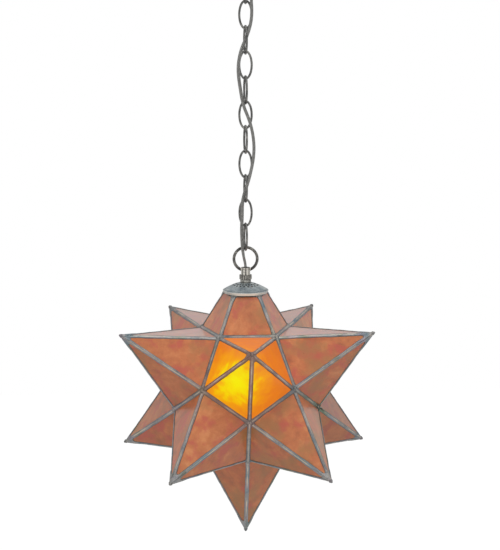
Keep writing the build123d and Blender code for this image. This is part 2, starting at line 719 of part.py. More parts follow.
def top_spider():
    """The star-shaped strap inside the mouth that carries the star on the threaded tube."""
    foot = MOUTH_LEVEL - SPIDER_THICKNESS
    outline = [Circle(SPIDER_HUB_RADIUS)]
    seat = facet_outline("top", neighbours("top")[0])[2:]
    reach = hypot(seat[0].X + seat[1].X, seat[0].Y + seat[1].Y) / 2
    for neighbour in neighbours("top"):
        azimuth = degrees(atan2(POINTS[neighbour].Y, POINTS[neighbour].X))
        outline.append(Rot(0, 0, azimuth) * Pos(reach / 2, 0, 0) * Rectangle(reach, SPIDER_ARM_WIDTH))
    spider = at(foot) * extrude(Sketch() + outline, SPIDER_THICKNESS)
    for neighbour in neighbours("top"):
        normal = facet_normal("top", neighbour)
        face = facet_outline("top", neighbour)[0] - normal * PANEL_THICKNESS
        spider = keep_side(spider, face, -normal)
    return spider - at(foot) * extrude(Circle(NIPPLE_RADIUS), SPIDER_THICKNESS)


# ---- lamp holder ----
def socket_cap():
    """The cap of the lamp holder, with the tapped neck that grips the tube."""
    shoulder = SOCKET_TOP - SOCKET_CAP_NECK_HEIGHT
    skirt = SOCKET_SHELL_RADIUS + SOCKET_FIT + SOCKET_WALL
    foot = SOCKET_TOP - SOCKET_CAP_HEIGHT
    neck = NIPPLE_RADIUS + 2 * SOCKET_WALL
    return turned(
        [
            (NIPPLE_RADIUS, SOCKET_TOP),
            (neck, SOCKET_TOP),
            (neck, shoulder),
            (skirt, shoulder - SOCKET_SHOULDER_DROP),
            (skirt, foot),
            (skirt - SOCKET_WALL, foot),
            (skirt - SOCKET_WALL, shoulder - SOCKET_SHOULDER_DROP),
            (NIPPLE_RADIUS, shoulder - 2 * SOCKET_WALL),
        ]
    )


def socket_shell():
    top = SOCKET_TOP - SOCKET_CAP_HEIGHT + SOCKET_OVERLAP - SOCKET_FIT
    return tube(SOCKET_SHELL_RADIUS, SOCKET_SHELL_RADIUS - SOCKET_WALL, SOCKET_MOUTH, top)


def socket_liner():
    inner = LINER_RADIUS - LINER_THICKNESS
    return tube(LINER_RADIUS, inner, SOCKET_MOUTH + LINER_SETBACK, BULB_TOP + CORE_HEIGHT)


def core_foot():
    """Underside of the insulating core, over the top of the screw shell."""
    return BULB_TOP + BULB_SEAT_GAP + CONTACT_THICKNESS


def socket_core():
    core = Circle(LINER_RADIUS - LINER_THICKNESS)
    return at(core_foot()) * extrude(core, CORE_HEIGHT - BULB_SEAT_GAP - CONTACT_THICKNESS)


def screw_shell():
    outer = SCREW_SHELL_RADIUS + SCREW_SHELL_WALL
    return tube(outer, SCREW_SHELL_RADIUS, SOCKET_MOUTH + SCREW_SHELL_SETBACK, core_foot())


def centre_contact():
    return at(core_foot() - CONTACT_THICKNESS) * extrude(
        RectangleRounded(2 * CONTACT_WIDTH, CONTACT_WIDTH, CONTACT_WIDTH / 4), CONTACT_THICKNESS
    )


# ---- bulb ----
def glass_outline(shrink):
    """The side of a bulb's envelope, drawn in by a wall: its neck, a taper and the round end."""
    centre = BULB_FOOT + BULB_RADIUS
    radius = BULB_RADIUS - shrink
    neck = BULB_NECK_RADIUS - shrink
    neck_top = BULB_TOP - BULB_BASE_LENGTH
    neck_foot = neck_top - BULB_NECK_LENGTH
    rise, span = neck_foot - centre, hypot(neck_foot - centre, neck)
    tangent = atan2(rise, neck) - acos(radius / span)
    touch = (radius * cos(tangent), centre + radius * sin(tangent))
    globe = ThreePointArc((0, 0, centre - radius), (radius, 0, centre), section(touch))
    side = Polyline(section(touch), (neck, 0, neck_foot), (neck, 0, neck_top))
    return globe, side


def glass_body(shrink):
    globe, side = glass_outline(shrink)
    close = Polyline(side @ 1, (0, 0, (side @ 1).Z), (0, 0, (globe @ 0).Z))
    return revolve(make_face([globe, side, close]), Axis.Z)


def bulb_base():
    """The lamp's metal screw shell and its contact button, as one capped solid shell."""
    foot = BULB_TOP - BULB_BASE_LENGTH
    shoulder = BULB_TOP - BULB_BUTTON_HEIGHT
    inner = BULB_BASE_RADIUS - BULB_BASE_WALL
    return turned(
        [
            (inner, foot),
            (BULB_BASE_RADIUS, foot),
            (BULB_BASE_RADIUS, shoulder - BULB_SHOULDER_DROP),
            (BULB_BUTTON_RADIUS + BULB_INSULATOR_RIM, shoulder),
            (BULB_BUTTON_RADIUS, BULB_TOP),
            (0, BULB_TOP),
            (0, shoulder - BULB_INSULATOR_RIM),
            (BULB_BUTTON_RADIUS, shoulder - BULB_INSULATOR_RIM),
            (inner, shoulder - BULB_INSULATOR_RIM - BULB_SHOULDER_DROP),
        ]
    )


def bulb_stem():
    """The glass stem with its flare, two leads and the filament's arc."""
    flare_foot = BULB_TOP - BULB_BASE_LENGTH - STEM_FLARE_HEIGHT
    end = flare_foot - STEM_LENGTH
    stem = turned(
        [
            (0, flare_foot + STEM_FLARE_HEIGHT),
            (BULB_NECK_RADIUS - BULB_WALL, flare_foot + STEM_FLARE_HEIGHT),
            (STEM_RADIUS, flare_foot),
            (STEM_TIP_RADIUS, end),
            (0, end),
        ]
    )
    hoop = Torus(FILAMENT_RADIUS, FILAMENT_WIRE_RADIUS, major_angle=180, align=Align.NONE)
    filament = Pos(0, 0, end - FILAMENT_DROP) * Rot(0, 0, 180) * hoop
    leads = []
    for side in (-1, 1):
        start = Vector(side * LEAD_SPREAD, 0, end + LEAD_DEPTH)
        run = Vector(side * FILAMENT_RADIUS, 0, end - FILAMENT_DROP) - start
        leads.append(Plane(start, z_dir=run) * extrude(Circle(LEAD_RADIUS), run.length))
    return stem + filament + leads


# ---- chain ----
def chain_link(index):
    """A chain link, counted from one at the top: odd ones lie near the YZ plane, even ones in the XZ."""
    top = FIRST_SEAT + CANOPY_RING_PLAY + LINK_WIRE / 2 - LINK_PITCH * (index - 1)
    across = Vector(1, 0, 0).rotate(Axis.Z, LINK_TWIST) if index % 2 else Vector(0, 1, 0)
    upright = Plane((0, 0, top - LINK_LENGTH / 2), x_dir=(0, 0, 1), z_dir=across)
    return upright * oval_wire(LINK_LENGTH, LINK_WIDTH, LINK_WIRE / 2)


# ---- ceiling hardware ----
def canopy():
    """The round ceiling plate, dished, with its hole for the loop's stub."""
    rim = (CANOPY_RADIUS, 0)
    wall = (CANOPY_RADIUS, -CANOPY_RIM_HEIGHT)
    flat = (CANOPY_FLAT_RADIUS, -CANOPY_DEPTH)
    inner_rim, inner_wall = ((CANOPY_RADIUS - CANOPY_WALL, height) for height in (0, -CANOPY_RIM_HEIGHT))
    inner_flat = (CANOPY_FLAT_RADIUS, CANOPY_WALL - CANOPY_DEPTH)
    hole = STUB_RADIUS + CANOPY_HOLE_CLEARANCE
    outer = ThreePointArc(*map(section, (wall, bulged(wall, flat, CANOPY_BULGE), flat)))
    inner_middle = bulged(inner_wall, inner_flat, CANOPY_BULGE)
    inner = ThreePointArc(*map(section, (inner_wall, inner_middle, inner_flat)))
    edge = Polyline(*map(section, (wall, rim, inner_rim, inner_wall)))
    hole_edge = ((hole, -CANOPY_DEPTH), (hole, CANOPY_WALL - CANOPY_DEPTH))
    mouth = Polyline(*map(section, (flat, *hole_edge, inner_flat)))
    return revolve(make_face([edge, inner, mouth, outer]), Axis.Z)


def collar_nut():
    """The knurled collar that screws up the stub and holds the canopy against the ceiling."""
    foot = -CANOPY_DEPTH - COLLAR_HEIGHT
    bore = STUB_RADIUS + COLLAR_RUNNING_CLEARANCE
    collar = tube(COLLAR_RADIUS, bore, foot, -CANOPY_DEPTH)
    return notched(collar, COLLAR_NOTCHES, COLLAR_NOTCH_RADIUS, COLLAR_RADIUS, foot, -CANOPY_DEPTH)


def canopy_loop():
    """The stub that passes through the canopy, with the ring that carries the chain."""
    stub = at(STUB_FOOT) * extrude(Circle(STUB_RADIUS), STUB_LENGTH)
    loop = stub + wire_ring(CANOPY_RING_DIAMETER, CANOPY_RING_WIRE, CANOPY_RING_CENTRE)
    wireway = at(STUB_FOOT - CANOPY_RING_WIRE)
    wireway *= extrude(Circle(NIPPLE_BORE_RADIUS), STUB_LENGTH + CANOPY_RING_WIRE)
    thread = at(STUB_TOP - FIXTURE_NIPPLE_GRIP) * extrude(Circle(NIPPLE_RADIUS), FIXTURE_NIPPLE_GRIP)
    return loop - wireway - thread


def crossbar():
    """The strap on the ceiling box: two slots for the box's screws and a tapped hole in the middle."""
    length = BOX_SCREW_SPACING + SLOT_LENGTH + 2 * CROSSBAR_END
    outline = RectangleRounded(length, CROSSBAR_WIDTH, CROSSBAR_CORNER_RADIUS)
    bar = at(-CROSSBAR_THICKNESS) * extrude(outline, CROSSBAR_THICKNESS)
    for side in (-1, 1):
        slot = Pos(side * BOX_SCREW_SPACING / 2, 0) * SlotOverall(SLOT_LENGTH, SLOT_WIDTH)
        bar -= at(-CROSSBAR_THICKNESS) * extrude(slot, CROSSBAR_THICKNESS)
    bar -= at(-CROSSBAR_THICKNESS) * extrude(Circle(NIPPLE_RADIUS), CROSSBAR_THICKNESS)
    ground = Pos(GROUND_SCREW_OFFSET, 0) * Circle(GROUND_SCREW_RADIUS)
    return bar - at(-CROSSBAR_THICKNESS) * extrude(ground, CROSSBAR_THICKNESS)


def ground_screw():
    head = -CROSSBAR_THICKNESS - GROUND_SCREW_HEAD_HEIGHT
    place = Pos(GROUND_SCREW_OFFSET, 0)
    shank = at(-CROSSBAR_THICKNESS) * extrude(place * Circle(GROUND_SCREW_RADIUS), CROSSBAR_THICKNESS)
    cap = at(head) * extrude(place * Circle(GROUND_SCREW_HEAD_RADIUS), GROUND_SCREW_HEAD_HEIGHT)
    slot = place * Rectangle(2 * GROUND_SCREW_HEAD_RADIUS, DRIVER_SLOT_WIDTH)
    return shank + cap - at(head) * extrude(slot, DRIVER_SLOT_DEPTH)


# ---- supply cord ----
def cord():
    """The cord as straight runs joined by arcs, each as large as its two runs allow."""
    route = [Vector(point) for point in CORD_POINTS]
    radii = []
    for before, here, after in zip(route, route[1:], route[2:]):
        arriving, leaving = here - before, after - here
        turn = radians(arriving.get_angle(leaving))
        radii.append(ARC_SHARE * min(arriving.length, leaving.length) / tan(turn / 2))
    print("cord radii", [round(radius, 1) for radius in radii])
    path = FilletPolyline(*route, radius=radii)
    solid = sweep(Plane(path @ 0, z_dir=path % 0) * Circle(CORD_RADIUS), path)
    print("cord length", round(path.length, 1))
    print("cord volume ratio", round(solid.volume / (path.length * pi * CORD_RADIUS**2), 4))
    return solid


os.makedirs("parts", exist_ok=True)

save("ceiling_crossbar", crossbar())
save("ground_screw", ground_screw())
save("canopy_nipple", tube(NIPPLE_RADIUS, NIPPLE_BORE_RADIUS, STUB_TOP - FIXTURE_NIPPLE_GRIP, 0))
save("nipple_locknuts", [hex_nut(-CROSSBAR_THICKNESS - NUT_HEIGHT), hex_nut(STUB_TOP)])
save("canopy_loop", canopy_loop())
save("canopy", canopy())
save("collar_nut", collar_nut())
for link in range(1, CHAIN_LINKS + 1):
    save(f"chain_link_{link:02d}", chain_link(link))

save("hanging_loop", hanging_loop())
save("check_ring", check_ring())
save("neck_washer", neck_washer())
save("vase_cap", vase_cap())
save("fixture_nipple", tube(NIPPLE_RADIUS, NIPPLE_BORE_RADIUS, NIPPLE_FOOT, NIPPLE_TOP))
save("top_spider", top_spider())
save("spider_nut", hex_nut(MOUTH_LEVEL - SPIDER_THICKNESS - NUT_HEIGHT))
save("socket_cap", socket_cap())
save("socket_shell", socket_shell())
save("socket_liner", socket_liner())
save("socket_core", socket_core())
save("screw_shell", screw_shell())
save("centre_contact", centre_contact())

save("bulb_glass", glass_body(0) - glass_body(BULB_WALL))
save("bulb_base", bulb_base())
save("bulb_stem", bulb_stem())

for name in POINTS:
    if name != DOOR_POINT:
        save(f"{name}_panels", panels(name))
save("door_panels", panels(DOOR_POINT))
save("point_seams", [seam for name in POINTS if name != DOOR_POINT for seam in ridge_seams(name)])
save("mouth_seams", rim_seams())
save("door_seams", [door_side(seam) for seam in ridge_seams(DOOR_POINT)])
shared = [(DOOR_POINT, neighbour) for neighbour in neighbours(DOOR_POINT)]
whole = [pair for pair in valley_pairs() if DOOR_POINT not in pair]
valleys = [valley_seam(*pair) for pair in whole]
valleys += [body_side(valley_seam(*pair), pair[1]) for pair in shared]
save("valley_seams", valleys)
save("door_frame", [door_side(valley_seam(*pair)) for pair in shared])

body_leaf, door_leaf, hinge_pin = hinge()
save("body_hinge_leaf", body_leaf)
save("door_hinge_leaf", door_leaf)
save("hinge_pin", hinge_pin)
eye, bail, stud = latch()
save("latch_eye", eye)
save("latch_bail", bail)
save("latch_stud", stud)
save("supply_cord", cord())
print(len(nodes), "nodes")
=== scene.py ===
"""Moravian star pendant: finishes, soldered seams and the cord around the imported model.

Everything is in metres, in the model's own frame: +Z up, the front point of the star along -Y.
"""

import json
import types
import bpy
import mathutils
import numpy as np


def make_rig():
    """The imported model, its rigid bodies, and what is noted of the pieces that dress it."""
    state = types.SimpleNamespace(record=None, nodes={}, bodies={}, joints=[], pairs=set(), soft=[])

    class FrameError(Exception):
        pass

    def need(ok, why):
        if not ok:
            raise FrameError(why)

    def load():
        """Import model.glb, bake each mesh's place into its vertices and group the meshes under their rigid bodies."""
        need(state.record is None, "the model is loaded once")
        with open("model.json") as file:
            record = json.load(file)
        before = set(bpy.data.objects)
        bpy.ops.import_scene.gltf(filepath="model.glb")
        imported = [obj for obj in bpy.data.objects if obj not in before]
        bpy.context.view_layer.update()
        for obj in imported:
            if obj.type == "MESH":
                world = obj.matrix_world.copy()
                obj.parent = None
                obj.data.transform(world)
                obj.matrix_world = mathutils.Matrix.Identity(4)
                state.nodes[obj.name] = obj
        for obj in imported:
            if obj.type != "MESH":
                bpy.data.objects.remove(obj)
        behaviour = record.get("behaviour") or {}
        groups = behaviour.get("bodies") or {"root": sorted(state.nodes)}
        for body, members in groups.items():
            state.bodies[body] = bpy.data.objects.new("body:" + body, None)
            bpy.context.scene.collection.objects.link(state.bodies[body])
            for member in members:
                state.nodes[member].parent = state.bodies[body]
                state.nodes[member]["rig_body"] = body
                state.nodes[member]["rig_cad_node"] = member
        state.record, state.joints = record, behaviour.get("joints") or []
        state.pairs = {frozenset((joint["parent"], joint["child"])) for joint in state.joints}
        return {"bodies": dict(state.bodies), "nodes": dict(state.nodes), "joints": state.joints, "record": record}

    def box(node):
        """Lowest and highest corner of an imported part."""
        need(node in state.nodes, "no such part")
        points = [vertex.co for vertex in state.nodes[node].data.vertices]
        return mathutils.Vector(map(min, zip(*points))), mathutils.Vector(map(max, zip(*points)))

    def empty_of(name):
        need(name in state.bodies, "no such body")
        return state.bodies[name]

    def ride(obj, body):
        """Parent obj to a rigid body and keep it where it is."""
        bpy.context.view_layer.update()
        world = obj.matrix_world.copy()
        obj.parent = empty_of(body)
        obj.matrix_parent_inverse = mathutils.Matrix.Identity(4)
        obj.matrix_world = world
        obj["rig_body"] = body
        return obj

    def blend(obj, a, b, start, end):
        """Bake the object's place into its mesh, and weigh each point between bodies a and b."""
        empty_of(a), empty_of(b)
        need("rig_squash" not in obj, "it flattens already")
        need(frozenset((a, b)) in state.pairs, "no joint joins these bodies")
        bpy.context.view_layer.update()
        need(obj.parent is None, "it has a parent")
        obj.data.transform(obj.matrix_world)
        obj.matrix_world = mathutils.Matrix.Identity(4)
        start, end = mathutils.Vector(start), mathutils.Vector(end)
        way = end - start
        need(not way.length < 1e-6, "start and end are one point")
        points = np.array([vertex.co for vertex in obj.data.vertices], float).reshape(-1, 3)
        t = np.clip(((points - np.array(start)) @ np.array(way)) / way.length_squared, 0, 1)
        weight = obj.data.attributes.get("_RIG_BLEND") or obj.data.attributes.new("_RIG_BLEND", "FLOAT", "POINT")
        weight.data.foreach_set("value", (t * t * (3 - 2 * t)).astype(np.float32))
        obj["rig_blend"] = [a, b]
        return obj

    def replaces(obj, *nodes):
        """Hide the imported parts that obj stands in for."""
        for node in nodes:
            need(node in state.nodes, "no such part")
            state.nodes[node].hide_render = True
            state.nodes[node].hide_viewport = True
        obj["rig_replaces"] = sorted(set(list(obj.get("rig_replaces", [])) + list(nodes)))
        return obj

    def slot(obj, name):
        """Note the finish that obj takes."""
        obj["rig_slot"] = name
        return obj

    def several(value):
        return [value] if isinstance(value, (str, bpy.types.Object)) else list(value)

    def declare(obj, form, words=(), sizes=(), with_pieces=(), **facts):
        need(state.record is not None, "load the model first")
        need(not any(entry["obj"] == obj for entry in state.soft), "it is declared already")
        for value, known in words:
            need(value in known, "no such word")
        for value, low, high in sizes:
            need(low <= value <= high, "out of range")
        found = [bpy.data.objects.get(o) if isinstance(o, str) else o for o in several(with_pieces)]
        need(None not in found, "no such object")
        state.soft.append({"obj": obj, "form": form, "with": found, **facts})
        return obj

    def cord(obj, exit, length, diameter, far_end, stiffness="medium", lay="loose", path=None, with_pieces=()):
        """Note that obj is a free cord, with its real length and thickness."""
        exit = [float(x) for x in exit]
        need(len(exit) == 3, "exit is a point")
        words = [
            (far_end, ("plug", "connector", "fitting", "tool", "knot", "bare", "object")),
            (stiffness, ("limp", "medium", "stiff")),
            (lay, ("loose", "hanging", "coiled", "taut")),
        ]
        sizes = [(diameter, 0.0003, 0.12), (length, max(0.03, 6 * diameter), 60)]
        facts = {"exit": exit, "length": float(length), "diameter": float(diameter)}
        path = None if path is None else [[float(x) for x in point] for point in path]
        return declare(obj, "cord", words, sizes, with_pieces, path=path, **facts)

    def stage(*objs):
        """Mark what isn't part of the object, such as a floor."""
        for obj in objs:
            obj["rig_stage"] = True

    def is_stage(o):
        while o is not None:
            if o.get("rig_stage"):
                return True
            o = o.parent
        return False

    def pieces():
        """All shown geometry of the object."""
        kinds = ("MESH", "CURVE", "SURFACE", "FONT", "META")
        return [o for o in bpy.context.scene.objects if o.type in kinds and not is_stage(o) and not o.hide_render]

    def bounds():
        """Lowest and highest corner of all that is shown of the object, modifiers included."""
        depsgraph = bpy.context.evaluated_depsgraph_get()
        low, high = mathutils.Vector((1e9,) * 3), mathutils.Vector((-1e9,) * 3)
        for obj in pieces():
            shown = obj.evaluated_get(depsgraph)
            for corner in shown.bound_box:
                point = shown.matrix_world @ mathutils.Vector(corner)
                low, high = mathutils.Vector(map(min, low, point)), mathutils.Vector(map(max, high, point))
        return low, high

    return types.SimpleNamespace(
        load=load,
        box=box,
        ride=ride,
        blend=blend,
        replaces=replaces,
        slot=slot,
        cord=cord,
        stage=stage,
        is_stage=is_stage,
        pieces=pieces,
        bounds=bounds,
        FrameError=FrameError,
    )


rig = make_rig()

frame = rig.load()

import json
from functools import partial
from itertools import combinations
from math import atan2, cos, pi, sin, tau

import bmesh
import bpy
from mathutils import Matrix, Vector, noise

CAD_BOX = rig.bounds()

# ---- the star, as the model has it ----
STAR_RADIUS = 0.209016
BODY_RADIUS = 0.1106
SEAM_HALF_WIDTH = 0.00285
PANEL_THICKNESS = 0.002
DOOR_GAP = 0.0006
BOTTOM_POINT_EXTRA = 0.005
TOP_POINT_SHORTER = 0.0158
UPPER_ELEVATION = atan2(1, 2)
NEIGHBOUR_COSINE = 0.3
DOOR_POINT = "lower_2"
LATCH_SIDES = ("lower_1", "upper_2")
CENTRE = Vector((0, 0, sum(end.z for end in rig.box("valley_seams")) / 2))
MOUTH_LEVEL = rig.box("vase_cap")[0].z

# ---- the camera, fitted to the tips and corners of the star in the photograph ----
CAMERA_DISTANCE = 9.9243 * STAR_RADIUS
CAMERA_PITCH = 0.1697
CAMERA_YAW = 0.0502
FOCAL_PIXELS = 1450.32
PICTURE_HEIGHT = 550
SENSOR = 36.0
AIM_SIDE = 0.0301 * STAR_RADIUS
AIM_RISE = 0.801 * STAR_RADIUS

# ---- the painted glow of the lamp on the front point: a place on its line, and the way the line runs ----
GLOW_CENTRE = (-0.0188, -0.12, -0.6071)
GLOW_AXIS = (0.0391, 0.9696, -0.2416)

# ---- the room: metres, watts, and levels at which 1 is white ----
FLOOR_DROP = 2.1
FLOOR_REACH = 9
FLOOR_PALENESS = 0.9
FLOOR_WHITE = 1.12
FLOOR_WHITE_SHARE = 0.85
WORLD_LEVEL = 0.62
OVERHEAD_LAMP = {"place": (0.0, -0.6, 1.3), "size": 1.6, "power": 18}
FRONT_LAMP = {"place": (0.3, -2.7, 0.3), "size": 1.2, "power": 7}

# ---- cap and check ring ----
VENTS_PER_ROW = 20
VENT_ROWS = (0.0138, 0.018)
VENT_PAINTED_SHADE = (0.0013, 0.0019)
LIP_HEIGHT = 0.004
CREASE_HEIGHT = 0.0047
NOTCH_HOLLOW = 0.0083
NOTCH_CROWN = 0.0089
FLUTE_HOLLOW = 0.0061
FLUTE_CROWN = 0.0065
RING_BASE_TOP = -0.4673

# ---- solder ----
BEAD_HALF_WIDTH = 0.0037
RIDGE_HEIGHT = 0.0013
VALLEY_HEIGHT = 0.0012
SOLDER_LAP = 0.0001
CREST_STEPS = 10
SEAM_STEP = 0.003
POOL_REACH = 0.014
TIP_TAPER = 0.03
TIP_SETBACK = 0.0015
TIP_RADIUS = 0.0022
TIP_STRETCH = 1.5
TIP_WEB = 0.027
TIP_WEB_HOLLOW = 0.36
MOUTH_WEB = 0.009
MOUTH_POOL = 0.6
LATCH_WEB = 0.022
CORNER_POOL = 0.35
FILLET_HOLLOW = 0.5
WEB_HEIGHT = 0.0006
WEB_STEPS = 10
BLOB_RADIUS = 0.0058
BLOB_RISE = -0.0012
BLOB_SQUASH = 0.55
LATCH_BLOB_RADIUS = 0.0026
LATCH_CLEARANCE = 0.014
BACK_SHADE = 0.35

# ---- cord: its section, how it turns, and the same route as the model's own cord ----
CORD_WIDTH = 0.0053
CORD_THICKNESS = 0.0027
CORD_TURN = 0.7
CORD_SWAY = 0.15
CORD_SWAYS_PER_METRE = 31.0
RING_TURN = 0.3
RING_TURN_BELOW = -0.44
RING_TURN_OVER = 0.01
CORE_ARC = 4.7
CORE_STEPS = 10
CORD_BEND_REACH = 0.008
LINE_STEPS = 14
CORD_ROUTE = [
    (0.0, 0.0, -0.033),
    (0.0, 0.0, -0.0405),
    (0.0016, -0.0026, -0.0475),
    (0.0048, -0.0066, -0.056),
    (0.0074, -0.007, -0.066),
    (0.0086, -0.0054, -0.078),
    (0.0077, -0.0045, -0.091),
    (0.0087, -0.0046, -0.105),
    (0.008, -0.0044, -0.119),
    (0.0053, -0.0041, -0.131),
    (0.0008, -0.0028, -0.144),
    (-0.0046, -0.0036, -0.156),
    (-0.0083, -0.0046, -0.168),
    (-0.0106, -0.005, -0.184),
    (-0.0096, -0.0048, -0.2),
    (-0.0074, -0.0048, -0.214),
    (-0.0052, -0.005, -0.228),
    (-0.0022, -0.005, -0.24),
    (0.0026, -0.0046, -0.251),
    (0.0072, -0.0046, -0.264),
    (0.0106, -0.0046, -0.28),
    (0.012, -0.0044, -0.296),
    (0.0109, -0.0046, -0.312),
    (0.0079, -0.0045, -0.327),
    (0.0048, -0.0036, -0.34),
    (0.0015, -0.0026, -0.351),
    (-0.0022, -0.0029, -0.362),
    (-0.005, -0.0044, -0.375),
    (-0.0051, -0.005, -0.394),
    (-0.0059, -0.0052, -0.41),
    (-0.0055, -0.0052, -0.426),
    (-0.0046, -0.005, -0.44),
    (-0.0029, -0.0034, -0.452),
    (-0.0006, -0.0009, -0.461),
    (0.0, 0.0, -0.469),
    (0.0, 0.0, -0.476),
]


# ---- small helpers ----
def srgb(red, green, blue):
    """A colour given as 0 to 255 on screen, as the linear colour that shaders take."""

    def linear(value):
        share = value / 255
        return share / 12.92 if share <= 0.04045 else ((share + 0.055) / 1.055) ** 2.4

    return (linear(red), linear(green), linear(blue), 1.0)


def add_mesh(name, bm, material, smooth=True):
    """A new object from a bmesh, with outward normals."""
    bmesh.ops.recalc_face_normals(bm, faces=bm.faces[:])
    mesh = bpy.data.meshes.new(name)
    bm.to_mesh(mesh)
    bm.free()
    mesh.materials.append(material)
    for face in mesh.polygons:
        face.use_smooth = smooth
    piece = bpy.data.objects.new(name, mesh)
    bpy.context.scene.collection.objects.link(piece)
    return piece


def skin(bm, rows):
    """Skin closed rows of vertices into a capped tube."""
    for here, there in zip(rows, rows[1:]):
        for side in range(len(here)):
            after = (side + 1) % len(here)
            bm.faces.new((here[side], here[after], there[after], there[side]))
    bm.faces.new(rows[0])
    bm.faces.new(reversed(rows[-1]))


# ---- camera ----
def make_camera():
    """The photograph's view: a long lens from a little above and to the left of the front."""
    turn = Matrix.Rotation(-CAMERA_YAW, 4, "Z")
    back = Vector((0, -cos(CAMERA_PITCH), sin(CAMERA_PITCH))) * CAMERA_DISTANCE
    lens = bpy.data.cameras.new("camera")
    lens.sensor_width = SENSOR
    lens.lens = FOCAL_PIXELS * SENSOR / PICTURE_HEIGHT
    lens.clip_end = 50
    camera = bpy.data.objects.new("camera", lens)
    camera.location = CENTRE + turn @ (Vector((AIM_SIDE, 0, AIM_RISE)) + back)
    camera.rotation_euler = (pi / 2 - CAMERA_PITCH, 0, -CAMERA_YAW)
    bpy.context.scene.collection.objects.link(camera)
    bpy.context.scene.camera = camera


make_camera()


# ---- the star's points, corners and facets ----
def star_directions():
    """Unit vectors of the twelve points; each ring of five is counted from the front to the right."""
    points = {"top": Vector((0, 0, 1)), "bottom": Vector((0, 0, -1))}
    for index in range(5):
        for ring, turn, elevation in (("upper", 0, UPPER_ELEVATION), ("lower", pi / 5, -UPPER_ELEVATION)):
            azimuth = turn + index * tau / 5
            flat = Vector((sin(azimuth), -cos(azimuth), 0)) * cos(elevation)
            points[f"{ring}_{index + 1}"] = flat + Vector((0, 0, sin(elevation)))
    return points


POINTS = star_directions()


def side_by_side(first, second):
    """Whether two points of the star share a valley."""
    return first != second and POINTS[first].dot(POINTS[second]) > NEIGHBOUR_COSINE


def neighbours(*names):
    """Every point that stands beside all the named ones."""
    return [other for other in POINTS if all(side_by_side(other, name) for name in names)]


def tip(name):
    """Where a point's five facets meet."""
    extra = {"top": -TOP_POINT_SHORTER, "bottom": BOTTOM_POINT_EXTRA}.get(name, 0)
    return CENTRE + POINTS[name] * (STAR_RADIUS + extra)


def corner(*names):
    """The inner corner where three points meet."""
    return CENTRE + sum((POINTS[name] for name in names), Vector()).normalized() * BODY_RADIUS


def base_corners(point, neighbour):
    """Both ends of the valley between two points."""
    return [corner(point, neighbour, other) for other in neighbours(point, neighbour)]


def facet_normal(point, neighbour):
    """The outward normal of the facet of a point that faces a neighbour."""
    first, second = base_corners(point, neighbour)
    normal = (first - tip(point)).cross(second - tip(point)).normalized()
    return normal if normal.dot(POINTS[neighbour]) > 0 else -normal


def ridge_end(point, base):
    """Where a ridge ends: at the tip, or at the mouth under the cap."""
    apex = tip(point)
    if point != "top":
        return apex
    return apex + (base - apex) * ((apex.z - MOUTH_LEVEL) / (apex.z - base.z))


def ridges(point):
    """Every ridge of a point, as the two neighbours it runs between."""
    around = neighbours(point)
    return [(a, b) for index, a in enumerate(around) for b in around[index + 1:] if side_by_side(a, b)]


def across(edge, normal, away_from, towards):
    """The unit vector in a facet at a right angle to its edge, towards a place in the facet."""
    side = normal.cross(edge).normalized()
    return side if side.dot(towards - away_from) > 0 else -side


LATCH_CORNER = corner(DOOR_POINT, *LATCH_SIDES)


